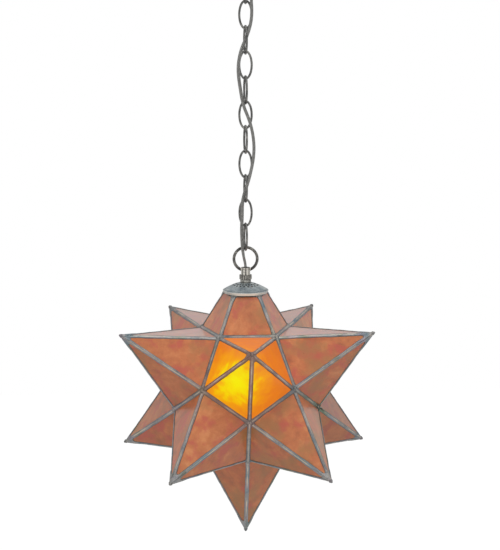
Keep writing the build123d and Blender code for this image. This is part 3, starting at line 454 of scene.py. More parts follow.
# ---- materials ----
class Nodes:
    """A material's node tree, with short calls for what its finish needs."""

    def __init__(self, name):
        self.material = bpy.data.materials.new(name)
        self.material.use_nodes = True
        self.tree = self.material.node_tree
        self.shader = self.tree.nodes["Principled BSDF"]
        self.output = self.tree.nodes["Material Output"]
        self.place = self.add("ShaderNodeTexCoord").outputs["Object"]

    def add(self, kind, **settings):
        """A new node with its settings."""
        node = self.tree.nodes.new(kind)
        for key, value in settings.items():
            setattr(node, key, value)
        return node

    def join(self, source, socket):
        self.tree.links.new(source, socket)

    def set(self, **values):
        """Constant values on the shader's own sockets, with _ for a space in a name."""
        for key, value in values.items():
            self.shader.inputs[key.replace("_", " ")].default_value = value

    def noise(self, scale, detail=3.0, roughness=0.55, distortion=0.0):
        """A noise value over the object, in cycles per metre."""
        node = self.add("ShaderNodeTexNoise")
        node.inputs["Scale"].default_value = scale
        node.inputs["Detail"].default_value = detail
        node.inputs["Roughness"].default_value = roughness
        node.inputs["Distortion"].default_value = distortion
        self.join(self.place, node.inputs["Vector"])
        return node.outputs["Fac"]

    def from_dots(self, scale):
        """The distance from the nearest of many scattered dots, scale of them to a metre."""
        node = self.add("ShaderNodeTexVoronoi")
        node.inputs["Scale"].default_value = scale
        self.join(self.place, node.inputs["Vector"])
        return node.outputs["Distance"]

    def ramp(self, value, stops):
        """A colour ramp with stops of (position, colour)."""
        node = self.add("ShaderNodeValToRGB")
        marks = node.color_ramp.elements
        while len(marks) < len(stops):
            marks.new(0.5)
        for mark, (position, colour) in zip(marks, stops):
            mark.position = position
            mark.color = colour
        self.join(value, node.inputs["Fac"])
        return node.outputs["Color"]

    def spread(self, value, low, high, start=0.0, end=1.0):
        """A value between low and high, spread over start to end and held there."""
        node = self.add("ShaderNodeMapRange", clamp=True)
        numbers = {"From Min": low, "From Max": high, "To Min": start, "To Max": end}
        for key, number in numbers.items():
            node.inputs[key].default_value = number
        self.join(value, node.inputs["Value"])
        return node.outputs["Result"]

    def math(self, operation, first, second=0.0):
        """One sum on numbers or sockets."""
        node = self.add("ShaderNodeMath", operation=operation)
        for socket, value in zip(node.inputs, (first, second)):
            if isinstance(value, (int, float)):
                socket.default_value = value
            else:
                self.join(value, socket)
        return node.outputs["Value"]

    def between(self, share, first, second):
        """A value that is a share of the second and the rest of the first."""
        rest = self.math("MULTIPLY", first, 1 - share)
        return self.math("ADD", rest, self.math("MULTIPLY", second, share))

    def hypotenuse(self, a, b):
        """The length of the long side of a right-angled triangle."""
        squares = self.math("ADD", self.math("MULTIPLY", a, a), self.math("MULTIPLY", b, b))
        return self.math("SQRT", squares)

    def from_line(self, place, way):
        """The distance from a line through a place, which runs along a unit vector."""
        offset = self.add("ShaderNodeVectorMath", operation="SUBTRACT")
        offset.inputs[1].default_value = place
        self.join(self.place, offset.inputs[0])
        turned = self.add("ShaderNodeVectorMath", operation="CROSS_PRODUCT")
        turned.inputs[1].default_value = way
        self.join(offset.outputs["Vector"], turned.inputs[0])
        reach = self.add("ShaderNodeVectorMath", operation="LENGTH")
        self.join(turned.outputs["Vector"], reach.inputs[0])
        return reach.outputs["Value"]

    def mix(self, share, first, second, blend="MIX"):
        """Two colours mixed by a share, which is a number or a socket."""
        node = self.add("ShaderNodeMix", data_type="RGBA", blend_type=blend)
        for socket, value in ((node.inputs[0], share), (node.inputs[6], first), (node.inputs[7], second)):
            if isinstance(value, (int, float, tuple)):
                socket.default_value = value
            else:
                self.join(value, socket)
        return node.outputs[2]

    def patches(self, base, colour, cycles, detail, low, high, share):
        """A base colour with soft patches of another, up to a share of it where the noise is high."""
        return self.mix(self.spread(self.noise(cycles, detail), low, high, 0.0, share), base, colour)

    def apart(self):
        """The x, y and z of a place on the object."""
        return self.join_in("ShaderNodeSeparateXYZ", self.place).outputs

    def join_in(self, kind, source):
        """A new node that takes a source in its first socket."""
        node = self.add(kind)
        self.join(source, node.inputs[0])
        return node

    def facing_up(self):
        """How far the surface faces up, from -1 to 1, in the object's own frame."""
        normal = self.add("ShaderNodeTexCoord").outputs["Normal"]
        return self.join_in("ShaderNodeSeparateXYZ", normal).outputs["Z"]

    def attribute(self, name):
        """A value that the mesh carries point by point."""
        return self.add("ShaderNodeAttribute", attribute_name=name).outputs["Fac"]

    def bump(self, height, strength, distance):
        """Raise the surface where a value is high."""
        node = self.add("ShaderNodeBump")
        node.inputs["Strength"].default_value = strength
        node.inputs["Distance"].default_value = distance
        self.join(height, node.inputs["Height"])
        self.join(node.outputs["Normal"], self.shader.inputs["Normal"])

    def colour(self, socket):
        self.join(socket, self.shader.inputs["Base Color"])

    def roughness(self, socket):
        self.join(socket, self.shader.inputs["Roughness"])


def aged_metal(name, dark, middle, light, metallic=0.75, low=0.32, high=0.55, scale=90):
    """Cast or plated metal with dark patina in its hollows and lighter rubbed patches."""
    nodes = Nodes(name)
    cloud = nodes.noise(scale, detail=5)
    grain = nodes.noise(scale * 9, detail=3)
    nodes.colour(nodes.ramp(nodes.between(0.28, cloud, grain), [(0.34, dark), (0.5, middle), (0.66, light)]))
    nodes.roughness(nodes.spread(grain, 0.3, 0.7, low, high))
    nodes.bump(grain, 0.35, 0.0004)
    nodes.set(Metallic=metallic)
    return nodes.material


def solder():
    """Patinated solder: blue-grey and olive, dark at its edges, cream along its crest as rubbed wear and painted
    highlight, and a painted warm glow of the lamp near the front point.
    """
    nodes = Nodes("solder")
    cloud = nodes.noise(60, detail=5)
    grain = nodes.noise(420, detail=4)
    tint = nodes.ramp(
        nodes.between(0.45, cloud, grain),
        [
            (0.32, srgb(92, 96, 100)),
            (0.45, srgb(124, 126, 128)),
            (0.55, srgb(146, 144, 142)),
            (0.68, srgb(172, 168, 162)),
        ],
    )
    tint = nodes.patches(tint, srgb(98, 122, 132), 34, 3, 0.52, 0.68, 0.8)
    tint = nodes.patches(tint, srgb(152, 136, 150), 47, 3, 0.54, 0.68, 0.6)
    tint = nodes.patches(tint, srgb(104, 114, 88), 29, 4, 0.56, 0.7, 0.7)
    from_latch = nodes.add("ShaderNodeVectorMath", operation="DISTANCE")
    from_latch.inputs[1].default_value = LATCH_CORNER
    nodes.join(nodes.place, from_latch.inputs[0])
    ragged = nodes.math("ADD", from_latch.outputs["Value"], nodes.spread(cloud, 0.3, 0.7, -0.012, 0.012))
    tint = nodes.mix(nodes.spread(ragged, 0.042, 0.012, 0.0, 0.85), tint, srgb(100, 120, 96))
    # Painted glow: a warm orange tint on the solder near the front point's glow line, standing in for the lamp's
    # light.
    painted_lamp_glow = nodes.spread(nodes.from_line(GLOW_CENTRE, GLOW_AXIS), 0.03, 0.09, 0.5, 0.0)
    painted_lamp_glow = nodes.math("MULTIPLY", painted_lamp_glow, nodes.spread(nodes.apart()["Y"], -0.06, -0.1))
    tint = nodes.mix(painted_lamp_glow, tint, srgb(166, 90, 36))
    # Cream along the crest: partly rubbed wear, partly a painted highlight.
    crest = nodes.spread(nodes.attribute("shade"), 0.68, 0.96, 0.0, 0.8)
    rubbed = nodes.math("MULTIPLY", crest, nodes.spread(nodes.noise(45, detail=3), 0.38, 0.6))
    retinted = nodes.mix(rubbed, tint, srgb(216, 202, 178))
    edge = nodes.spread(nodes.attribute("shade"), 0.45, 0.0, 0.0, 0.8)
    nodes.colour(nodes.mix(edge, retinted, srgb(82, 80, 74)))
    nodes.roughness(nodes.spread(grain, 0.3, 0.7, 0.3, 0.55))
    nodes.bump(nodes.math("ADD", cloud, nodes.math("MULTIPLY", grain, 0.4)), 0.5, 0.0008)
    nodes.set(Metallic=0.55)
    return nodes.material


def mica_body(nodes):
    """The colour of amber mica: soft clouds, reddish and olive patches and a few dark specks, with a painted pale
    reflection on the facets that face up.
    """
    clouds = nodes.noise(26, detail=4, distortion=1.2)
    blotch = nodes.noise(80, detail=5, roughness=0.62)
    pane = nodes.add("ShaderNodeNewGeometry").outputs["Random Per Island"]
    tone = nodes.math("ADD", nodes.between(0.45, clouds, blotch), nodes.spread(pane, 0, 1, -0.04, 0.04))
    body = nodes.ramp(
        tone,
        [
            (0.36, srgb(162, 92, 52)),
            (0.46, srgb(184, 106, 61)),
            (0.54, srgb(194, 116, 66)),
            (0.64, srgb(206, 134, 80)),
        ],
    )
    body = nodes.patches(body, srgb(186, 84, 66), 38, 4, 0.52, 0.63, 0.8)
    body = nodes.patches(body, srgb(160, 114, 64), 21, 4, 0.52, 0.64, 0.75)
    specks = nodes.spread(nodes.from_dots(210), 0.17, 0.05, 0.0, 0.6)
    specks = nodes.math("MULTIPLY", specks, nodes.spread(nodes.noise(70, detail=2), 0.52, 0.62))
    body = nodes.mix(specks, body, srgb(104, 44, 26))
    nodes.roughness(nodes.spread(blotch, 0.3, 0.7, 0.32, 0.46))
    nodes.bump(nodes.math("ADD", clouds, nodes.math("MULTIPLY", blotch, 0.5)), 0.25, 0.0012)
    # Painted reflection: facets that face up are mixed towards a pale mauve-grey, as if they mirrored the bright light
    # above.
    return nodes.mix(nodes.spread(nodes.facing_up(), 0.6, 1.0, 0.0, 0.5), body, srgb(184, 168, 170))


def front_only(nodes, outside):
    """Show a shader on the side that faces the eye and let light out freely through the other."""
    clear = nodes.add("ShaderNodeBsdfTransparent")
    sides = nodes.add("ShaderNodeMixShader")
    nodes.join(nodes.add("ShaderNodeNewGeometry").outputs["Backfacing"], sides.inputs["Fac"])
    nodes.join(outside, sides.inputs[1])
    nodes.join(clear.outputs["BSDF"], sides.inputs[2])
    nodes.join(sides.outputs["Shader"], nodes.output.inputs["Surface"])


def mica(name, shade):
    """A sheet of mica, satin on top, with the lamp dimly seen through it; a shade of 1 is the lightest, and a lower
    shade darkens it all as painted shade.
    """
    nodes = Nodes(name)
    nodes.colour(nodes.mix(1.0, mica_body(nodes), (shade, shade, shade, 1.0), "MULTIPLY"))
    nodes.set(Specular_IOR_Level=0.25, Coat_IOR=1.5, Coat_Roughness=0.2)
    gloss = nodes.spread(nodes.facing_up(), -0.3, 0.3, 0.4, 1.0)
    nodes.join(gloss, nodes.shader.inputs["Coat Weight"])
    through = nodes.add("ShaderNodeBsdfRefraction", distribution="GGX")
    through.inputs["Color"].default_value = (1.0, 0.42, 0.06, 1.0)
    through.inputs["Roughness"].default_value = 0.75
    through.inputs["IOR"].default_value = 1.05
    sheet = nodes.add("ShaderNodeMixShader")
    sheet.inputs["Fac"].default_value = 0.08
    nodes.join(nodes.shader.outputs["BSDF"], sheet.inputs[1])
    nodes.join(through.outputs["BSDF"], sheet.inputs[2])
    front_only(nodes, sheet.outputs["Shader"])
    return nodes.material


def lit_mica():
    """The mica of the front point with a painted glow of the lamp on it: emission, yellow at the lamp's line and
    orange around it.
    """
    nodes = Nodes("lit_mica")
    nodes.colour(mica_body(nodes))
    nodes.set(Coat_Weight=0.5, Coat_Roughness=0.2)
    wavering = nodes.spread(nodes.noise(60, detail=4), 0.3, 0.7, -0.009, 0.009)
    distance = nodes.math("ADD", nodes.from_line(GLOW_CENTRE, GLOW_AXIS), wavering)
    glow = nodes.ramp(
        nodes.spread(distance, 0.0, 0.1),
        [
            (0.0, (1.0, 0.9, 0.0, 1)),
            (0.17, (1.0, 0.74, 0.0, 1)),
            (0.3, (1.0, 0.4, 0.002, 1)),
            (0.52, (0.94, 0.24, 0.008, 1)),
            (1.0, (0.84, 0.18, 0.02, 1)),
        ],
    )
    # Painted glow: emission that stands in for the lamp's light, on the front point's panes only.
    lamp = nodes.add("ShaderNodeEmission")
    nodes.join(glow, lamp.inputs["Color"])
    sheet = nodes.add("ShaderNodeMixShader")
    nodes.join(nodes.spread(distance, 0.02, 0.09, 0.9, 0.62), sheet.inputs["Fac"])
    nodes.join(nodes.shader.outputs["BSDF"], sheet.inputs[1])
    nodes.join(lamp.outputs["Emission"], sheet.inputs[2])
    front_only(nodes, sheet.outputs["Shader"])
    return nodes.material


def vented_cap():
    """Blue-grey cast cap: painted shade around its vents and in the crease of the lip, darker near the neck, and a
    painted highlight on the rolled lip, brightest at the middle of its front and back.
    """
    nodes = Nodes("vented_cap")
    x, y, z = nodes.apart()
    radius = nodes.hypotenuse(x, y)
    cloud = nodes.noise(90, detail=5)
    grain = nodes.noise(700, detail=3)
    body = nodes.ramp(
        nodes.between(0.35, cloud, grain),
        [
            (0.36, srgb(112, 122, 128)),
            (0.5, srgb(150, 160, 164)),
            (0.62, srgb(186, 192, 190)),
        ],
    )
    turn = nodes.math("ARCTAN2", y, x)
    dark = None
    # Painted shade: dark spots around each vent, standing in for the dark look of the holes.
    for row, vent_radius in enumerate(VENT_ROWS):
        step = nodes.math("ADD", nodes.math("MULTIPLY", turn, VENTS_PER_ROW / tau), 0.5 * (1 - row))
        offset = nodes.math("SUBTRACT", nodes.math("FRACT", step), 0.5)
        aside = nodes.math("MULTIPLY", offset, vent_radius * tau / VENTS_PER_ROW)
        outward = nodes.math("SUBTRACT", radius, vent_radius)
        patch = nodes.spread(nodes.hypotenuse(aside, outward), VENT_PAINTED_SHADE[1], VENT_PAINTED_SHADE[0])
        dark = patch if dark is None else nodes.math("MAXIMUM", dark, patch)
    # Darker near the centre, by the neck.
    retinted = nodes.mix(nodes.spread(radius, 0.011, 0.008, 0.0, 0.6), body, srgb(96, 96, 92))
    vents = nodes.mix(nodes.math("MULTIPLY", dark, 0.85), retinted, srgb(44, 46, 46))
    # Painted highlight: the lip is mixed towards cream, brightest at the middle of its front and back, and made less
    # metallic.
    lip = nodes.spread(z, MOUTH_LEVEL + LIP_HEIGHT, MOUTH_LEVEL + LIP_HEIGHT - 0.0008)
    middle = nodes.spread(nodes.math("ABSOLUTE", x), 0.012, 0.027, 1.0, 0.35)
    rolled = nodes.mix(nodes.math("MULTIPLY", lip, middle), vents, srgb(246, 242, 228))
    # Painted shade: a dark line in the crease above the lip.
    crease = nodes.math("ABSOLUTE", nodes.math("SUBTRACT", z, MOUTH_LEVEL + CREASE_HEIGHT))
    crease = nodes.spread(crease, 0.0009, 0.0003, 0.0, 0.5)
    nodes.colour(nodes.mix(crease, rolled, srgb(92, 98, 100)))
    nodes.join(nodes.spread(lip, 0.0, 1.0, 0.6, 0.0), nodes.shader.inputs["Metallic"])
    nodes.roughness(nodes.spread(grain, 0.3, 0.7, 0.24, 0.42))
    nodes.bump(grain, 0.35, 0.0004)
    return nodes.material


def fluted_metal(name, hollow, crown, top, wear_share):
    """Cast metal, dark in its hollows and rubbed on its crowns up to a height, plain above it."""
    nodes = Nodes(name)
    x, y, z = nodes.apart()
    radius = nodes.hypotenuse(x, y)
    grain = nodes.noise(420, detail=4)
    crowns = nodes.spread(radius, hollow, crown, 0.0, wear_share)
    crowns = nodes.math("MULTIPLY", crowns, nodes.spread(radius, crown + 0.0005, crown + 0.0008, 1.0, 0.0))
    wear = nodes.math("MULTIPLY", crowns, nodes.spread(grain, 0.38, 0.56, 0.45, 1.0))
    dark = nodes.ramp(grain, [(0.35, srgb(44, 42, 40)), (0.65, srgb(80, 78, 74))])
    fluted = nodes.mix(wear, dark, srgb(226, 222, 212))
    stops = [(0.34, srgb(56, 56, 54)), (0.5, srgb(98, 97, 94)), (0.66, srgb(156, 153, 146))]
    plain = nodes.ramp(nodes.between(0.28, nodes.noise(140, detail=5), grain), stops)
    nodes.colour(nodes.mix(nodes.spread(z, top, top + 0.0004), fluted, plain))
    nodes.roughness(nodes.spread(grain, 0.3, 0.7, 0.28, 0.5))
    nodes.bump(grain, 0.35, 0.0004)
    nodes.set(Metallic=0.6)
    return nodes.material


def lit_glass():
    """The frosted envelope of the lamp, alight."""
    nodes = Nodes("lit_glass")
    frost = nodes.noise(300, detail=3)
    nodes.colour(nodes.ramp(frost, [(0.3, srgb(250, 240, 220)), (0.7, srgb(255, 250, 240))]))
    nodes.roughness(nodes.spread(frost, 0.3, 0.7, 0.4, 0.6))
    glow = nodes.ramp(nodes.noise(25, detail=2), [(0.3, (1.0, 0.62, 0.22, 1)), (0.7, (1.0, 0.78, 0.42, 1))])
    nodes.join(glow, nodes.shader.inputs["Emission Color"])
    nodes.set(Emission_Strength=9.0)
    return nodes.material


def clear_cord():
    """Clear insulation over two twisted strands of tinned wire."""
    nodes = Nodes("clear_cord")
    along = nodes.attribute("along")
    around = nodes.attribute("around")
    twist = nodes.math("ADD", nodes.math("MULTIPLY", along, 900.0), nodes.math("MULTIPLY", around, 5.0))
    strands = nodes.math("SINE", twist)
    grime = nodes.noise(140, detail=3)
    stops = [(0.1, srgb(84, 84, 82)), (0.6, srgb(116, 116, 113)), (0.95, srgb(158, 157, 152))]
    wires = nodes.ramp(nodes.spread(strands, -1, 1), stops)
    nodes.colour(nodes.mix(nodes.spread(grime, 0.5, 0.75, 0.0, 0.5), wires, srgb(96, 95, 91)))
    nodes.bump(strands, 0.2, 0.0002)
    nodes.set(Roughness=0.28, Metallic=0.25, Coat_Weight=0.8, Coat_Roughness=0.12)
    return nodes.material


def mottled(name, dark, light, scale, roughness=(0.4, 0.6), metallic=0.0, bump=0.2, coat=0.0):
    """A plain finish with fine variation in colour, gloss and surface."""
    nodes = Nodes(name)
    cloud = nodes.noise(scale, detail=5)
    nodes.colour(nodes.ramp(cloud, [(0.35, dark), (0.65, light)]))
    nodes.roughness(nodes.spread(cloud, 0.3, 0.7, *roughness))
    nodes.bump(nodes.noise(scale * 4, detail=3), bump, 0.0003)
    nodes.set(Metallic=metallic, Coat_Weight=coat)
    return nodes.material


SOLDER = solder()
MICA = mica("mica", 1.0)
# The door's panes: the same mica painted darker, as painted shade.
DOOR_MICA_PAINTED_SHADE = mica("door_mica", 0.8)
PAINTED_GLOW_MICA = lit_mica()
CHAIN_METAL = aged_metal("chain_metal", srgb(70, 70, 68), srgb(112, 112, 110), srgb(160, 158, 152), scale=130)
RING_METAL = aged_metal("ring_metal", srgb(56, 56, 54), srgb(98, 97, 94), srgb(156, 153, 146), scale=140)
CAP_METAL = aged_metal("cap_metal", srgb(108, 118, 124), srgb(146, 156, 160), srgb(186, 192, 190), scale=90)
VENTED_CAP = vented_cap()
NECK_METAL = aged_metal("neck_metal", srgb(84, 84, 80), srgb(156, 156, 150), srgb(206, 204, 196), scale=260)
NOTCHED_METAL = fluted_metal("notched_metal", NOTCH_HOLLOW, NOTCH_CROWN, RING_BASE_TOP, 0.6)
FLUTED_METAL = fluted_metal("fluted_metal", FLUTE_HOLLOW, FLUTE_CROWN, RING_BASE_TOP, 1.0)
ZINC = mottled("zinc", srgb(150, 152, 148), srgb(190, 190, 184), 160, (0.3, 0.5), 0.9)
BRASS = mottled("brass", srgb(170, 128, 62), srgb(206, 168, 96), 120, (0.25, 0.4), 0.95)
PORCELAIN = mottled("porcelain", srgb(222, 218, 206), srgb(236, 234, 226), 90, (0.15, 0.25), coat=0.6)
CARD = mottled("card", srgb(120, 98, 70), srgb(158, 132, 98), 260, (0.8, 0.95), bump=0.5)
ALUMINIUM = mottled("aluminium", srgb(176, 176, 172), srgb(206, 206, 202), 150, (0.3, 0.45), 0.95)
GREEN_STEEL = mottled("green_steel", srgb(24, 84, 40), srgb(40, 112, 58), 200, (0.35, 0.5), 0.5)
LIT_GLASS = lit_glass()
CORD_SKIN = clear_cord()

FINISHES = {
    "upper_1_panels": PAINTED_GLOW_MICA,
    "door_panels": DOOR_MICA_PAINTED_SHADE,
    "door_frame": SOLDER,
    "ceiling_crossbar": ZINC,
    "ground_screw": GREEN_STEEL,
    "canopy_nipple": ZINC,
    "nipple_locknuts": ZINC,
    "canopy_loop": RING_METAL,
    "canopy": CAP_METAL,
    "collar_nut": RING_METAL,
    "hanging_loop": FLUTED_METAL,
    "check_ring": NOTCHED_METAL,
    "neck_washer": NECK_METAL,
    "vase_cap": VENTED_CAP,
    "fixture_nipple": ZINC,
    "top_spider": ZINC,
    "spider_nut": ZINC,
    "socket_cap": BRASS,
    "socket_shell": BRASS,
    "socket_liner": CARD,
    "socket_core": PORCELAIN,
    "screw_shell": BRASS,
    "centre_contact": BRASS,
    "bulb_glass": LIT_GLASS,
    "bulb_base": ALUMINIUM,
    "bulb_stem": LIT_GLASS,
    "hinge_pin": SOLDER,
    "body_hinge_leaf": SOLDER,
    "door_hinge_leaf": SOLDER,
    "latch_eye": RING_METAL,
    "latch_bail": RING_METAL,
    "latch_stud": SOLDER,
    "supply_cord": CORD_SKIN,
}


def finish_cad():
    """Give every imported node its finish."""
    for name, node in frame["nodes"].items():
        if name in FINISHES:
            material = FINISHES[name]
        elif name.endswith("_panels"):
            material = MICA
        elif name.endswith("_seams"):
            material = SOLDER
        else:
            material = CHAIN_METAL
        node.data.materials.clear()
        node.data.materials.append(material)


finish_cad()


# ---- the cord's stretches ----
def joint_places():
    """Heights of the chain's joints and the two bodies at each, from the ceiling down."""
    return [
        (joint["pos_m"][2], joint["parent"], joint["child"])
        for joint in frame["joints"]
        if joint["name"].endswith("_swing") and "link" in joint["parent"] + joint["child"]
    ]


def cord_line():
    """The points of the cord's smooth line."""
    curve = bpy.data.curves.new("cord_line", "CURVE")
    curve.dimensions = "3D"
    spline = curve.splines.new("NURBS")
    spline.points.add(len(CORD_ROUTE) - 1)
    for point, place in zip(spline.points, CORD_ROUTE):
        point.co = (*place, 1)
    spline.order_u = 3
    spline.use_endpoint_u = True
    spline.resolution_u = LINE_STEPS
    holder = bpy.data.objects.new("cord_line", curve)
    mesh = bpy.data.meshes.new_from_object(holder)
    points = [vert.co.copy() for vert in mesh.vertices]
    bpy.data.objects.remove(holder)
    bpy.data.meshes.remove(mesh)
    bpy.data.curves.remove(curve)
    return points


def cord_section(side, up):
    """The outline of the flat cord: two round cores side by side, joined by a web."""
    core = CORD_THICKNESS / 2
    offset = CORD_WIDTH / 2 - core
    outline = []
    for centre, start in ((offset, -CORE_ARC / 2), (-offset, pi - CORE_ARC / 2)):
        for step in range(CORE_STEPS + 1):
            angle = start + step * CORE_ARC / CORE_STEPS
            spot = Vector((centre + core * cos(angle), core * sin(angle)))
            outline.append((side * spot.x + up * spot.y, angle))
    return outline


def cord_turn(length, height):
    """Which way the flat cord faces after a length of it, at a height: it lies flatter near the ring."""
    by_ring = max(0.0, min(1.0, (RING_TURN_BELOW - height) / RING_TURN_OVER))
    return CORD_TURN + CORD_SWAY * sin(length * CORD_SWAYS_PER_METRE) + RING_TURN * by_ring


def cord_piece(index, points, travelled):
    """One stretch of the cord as a mesh, with how far along and around it each vertex lies."""
    bm = bmesh.new()
    along = bm.verts.layers.float.new("along")
    around = bm.verts.layers.float.new("around")
    rows = []
    length = travelled
    for place, point in enumerate(points):
        before = points[max(place - 1, 0)]
        after = points[min(place + 1, len(points) - 1)]
        tangent = (after - before).normalized()
        if place:
            length += (point - points[place - 1]).length
        turn = cord_turn(length, point.z)
        side = tangent.cross(Vector((sin(turn), -cos(turn), 0))).normalized()
        row = []
        for offset, angle in cord_section(side, side.cross(tangent)):
            vert = bm.verts.new(point + offset)
            vert[along] = length
            vert[around] = angle
            row.append(vert)
        rows.append(row)
    skin(bm, rows)
    return add_mesh(f"cord_{index:02d}", bm, CORD_SKIN), length - travelled


def make_cord():
    """The cord, in stretches that each bend at one joint of the chain."""
    joints = joint_places()
    line = cord_line()
    ends = [(here[0] + there[0]) / 2 for here, there in zip(joints, joints[1:])] + [CAD_BOX[0].z]
    start, travelled = 0, 0.0
    reach = Vector((0, 0, CORD_BEND_REACH))
    for index, ((height, above, below), end) in enumerate(zip(joints, ends), 1):
        stop = next((n for n in range(start, len(line)) if line[n].z < end), len(line) - 1)
        points = line[start:stop + 1]
        piece, length = cord_piece(index, points, travelled)
        pivot = Vector((0, 0, height))
        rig.blend(piece, above, below, start=pivot + reach, end=pivot - reach)
        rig.replaces(piece, "supply_cord")
        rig.slot(piece, "clear_cord")
        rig.cord(
            piece,
            exit=points[0],
            length=length,
            diameter=CORD_WIDTH,
            far_end="object",
            stiffness="limp",
            lay="hanging",
            path=points,
        )
        start = stop
        travelled += length


make_cord()


# ---- shapes of solder ----
def wander(place, frequency, shift):
    """Smooth noise at a place, between about -1 and 1, in cycles per metre."""
    return noise.noise(place * frequency + Vector((shift, shift * 1.7, -shift)))


def swell(distance):
    """How much the solder pools at this distance from the end of a seam, from 1 down to 0."""
    return max(0.0, 1 - distance / POOL_REACH) ** 2


def bead_section(sides, normals, widths, height):
    """Offsets and shades of a seam's crest, from one facet over the edge line to the other."""
    offsets, shades = [], []
    for step in range(CREST_STEPS + 1):
        share = step / CREST_STEPS
        spread = sides[0] * (widths[0] * (1 - share) ** 2) + sides[1] * (widths[1] * share ** 2)
        arch = max(0.0, 1 - (2 * share - 1) ** 2) ** 0.6
        rise = normals[0].lerp(normals[1], share).normalized() * (height * arch - SOLDER_LAP)
        offsets.append(spread + rise)
        shades.append(1 - abs(2 * share - 1))
    return offsets, shades


def bead(bm, start, end, sides, normals, inner, height, pools, narrow_tip=False):
    """A soldered seam from start to end; pools says how far it widens at each of them.

    It is lower where the bail of the door swings over it.
    """
    layer = bm.verts.layers.float["shade"]
    length = (end - start).length
    count = max(int(length / SEAM_STEP), 8)
    rows = []
    for index in range(count + 1):
        share = index / count
        place = start.lerp(end, share)
        factor = 1 + pools[0] * swell(share * length) + pools[1] * swell((1 - share) * length)
        if narrow_tip:
            factor *= min(1.0, 0.45 + (1 - share) * length / TIP_TAPER)
        uneven = [1 + 0.13 * wander(place, 70, shift) + 0.07 * wander(place, 260, shift) for shift in (3, 9)]
        widths = [BEAD_HALF_WIDTH * factor * ripple for ripple in uneven]
        tall = height * (1 + 0.25 * wander(place, 95, 20) + 0.12 * wander(place, 330, 31))
        tall *= min(1.0, (place - LATCH_CORNER).length / LATCH_CLEARANCE)
        offsets, crest_shades = bead_section(sides, normals, widths, tall)
        row = []
        for offset, shade in zip(offsets + inner, crest_shades + [BACK_SHADE] * len(inner)):
            vert = bm.verts.new(place + offset)
            vert[layer] = shade
            row.append(vert)
        rows.append(row)
    skin(bm, rows)


def seam_back(sides, normals):
    """Offsets of a seam's two inner edges, level with the backs of the panes."""
    return [
        side * SEAM_HALF_WIDTH - normal * (PANEL_THICKNESS + SOLDER_LAP)
        for side, normal in ((sides[1], normals[1]), (sides[0], normals[0]))
    ]


def ridge_bead(bm, point, first, second):
    """The seam along the ridge of a point between its facets towards two neighbours."""
    base = corner(point, first, second)
    end = ridge_end(point, base)
    edge = (end - base).normalized()
    normals = [facet_normal(point, name) for name in (first, second)]
    sides = [
        across(edge, normal, base, sum(base_corners(point, name), Vector()) / 2)
        for name, normal in zip((first, second), normals)
    ]
    open_end = point == "top"
    pools = (CORNER_POOL, MOUTH_POOL if open_end else 0.0)
    bead(bm, base, end, sides, normals, seam_back(sides, normals), RIDGE_HEIGHT, pools, not open_end)


def valley_bead(bm, first, second):
    """The seam along the valley between two points."""
    start, end = base_corners(first, second)
    edge = (end - start).normalized()
    normals = [facet_normal(first, second), facet_normal(second, first)]
    sides = [across(edge, normal, start, tip(name)) for name, normal in zip((first, second), normals)]
    back = seam_back(sides, normals)
    out = ((start + end) / 2 - CENTRE).normalized()
    back.insert(1, out * (-(PANEL_THICKNESS + SOLDER_LAP) / normals[0].dot(out)))
    bead(bm, start, end, sides, normals, back, VALLEY_HEIGHT, (CORNER_POOL, CORNER_POOL))


def blob(bm, place, out, radius, squash):
    """A pooled drop of solder: an uneven ball, pressed flat or drawn out along out."""
    layer = bm.verts.layers.float["shade"]
    for vert in bmesh.ops.create_icosphere(bm, subdivisions=3, radius=radius)["verts"]:
        unit = vert.co.normalized()
        vert.co -= out * (vert.co.dot(out) * (1 - squash))
        vert.co *= 1 + 0.12 * wander(place + unit * 0.01, 120, 5)
        vert.co += place
        vert[layer] = 0.15 + 0.4 * max(0.0, unit.dot(out)) * (0.6 + 0.4 * wander(vert.co, 300, 8))


def web(bm, apex, ends, normal, reach, hollow):
    """Solder that fills the corner of a facet up to a curved edge between its two seams."""
    layer = bm.verts.layers.float["shade"]
    rays = [(end - apex).normalized() for end in ends]
    rows = []
    for step in range(WEB_STEPS + 1):
        share = step / WEB_STEPS
        row = []
        for side in range(WEB_STEPS + 1):
            turn = side / WEB_STEPS
            ray = rays[0].lerp(rays[1], turn)
            uneven = 1 + 0.16 * wander(apex + ray * 0.02, 90, 13)
            place = apex + ray * (reach * share * uneven * (1 - hollow * sin(pi * turn) ** 0.8))
            rise = WEB_HEIGHT * (1 - share ** 5) * (1 + 0.3 * wander(place, 240, 17)) - SOLDER_LAP / 2
            vert = bm.verts.new(place + normal * rise)
            vert[layer] = 0.25 + 0.45 * (1 - share ** 4)
            row.append(vert)
        rows.append(row)
    for here, there in zip(rows, rows[1:]):
        for side in range(WEB_STEPS):
            bm.faces.new((here[side], here[side + 1], there[side + 1], there[side]))
    bmesh.ops.remove_doubles(bm, verts=bm.verts[:], dist=1e-6)
    bmesh.ops.solidify(bm, geom=bm.faces[:], thickness=WEB_HEIGHT)


# ---- the door's edges ----
def clip(bm, place, normal):
    """Keep the part of a closed mesh on the side of a plane that its normal points to."""
    geometry = bm.verts[:] + bm.edges[:] + bm.faces[:]
    bmesh.ops.bisect_plane(bm, geom=geometry, plane_co=place, plane_no=normal, clear_inner=True)
    bmesh.ops.holes_fill(bm, edges=[edge for edge in bm.edges if edge.is_boundary], sides=0)


def door_plane(neighbour):
    """Normal of the plane through the star's centre along one edge of the door, towards the door."""
    first, second = (spot - CENTRE for spot in base_corners(DOOR_POINT, neighbour))
    normal = first.cross(second).normalized()
    return normal if normal.dot(POINTS[DOOR_POINT]) > 0 else -normal


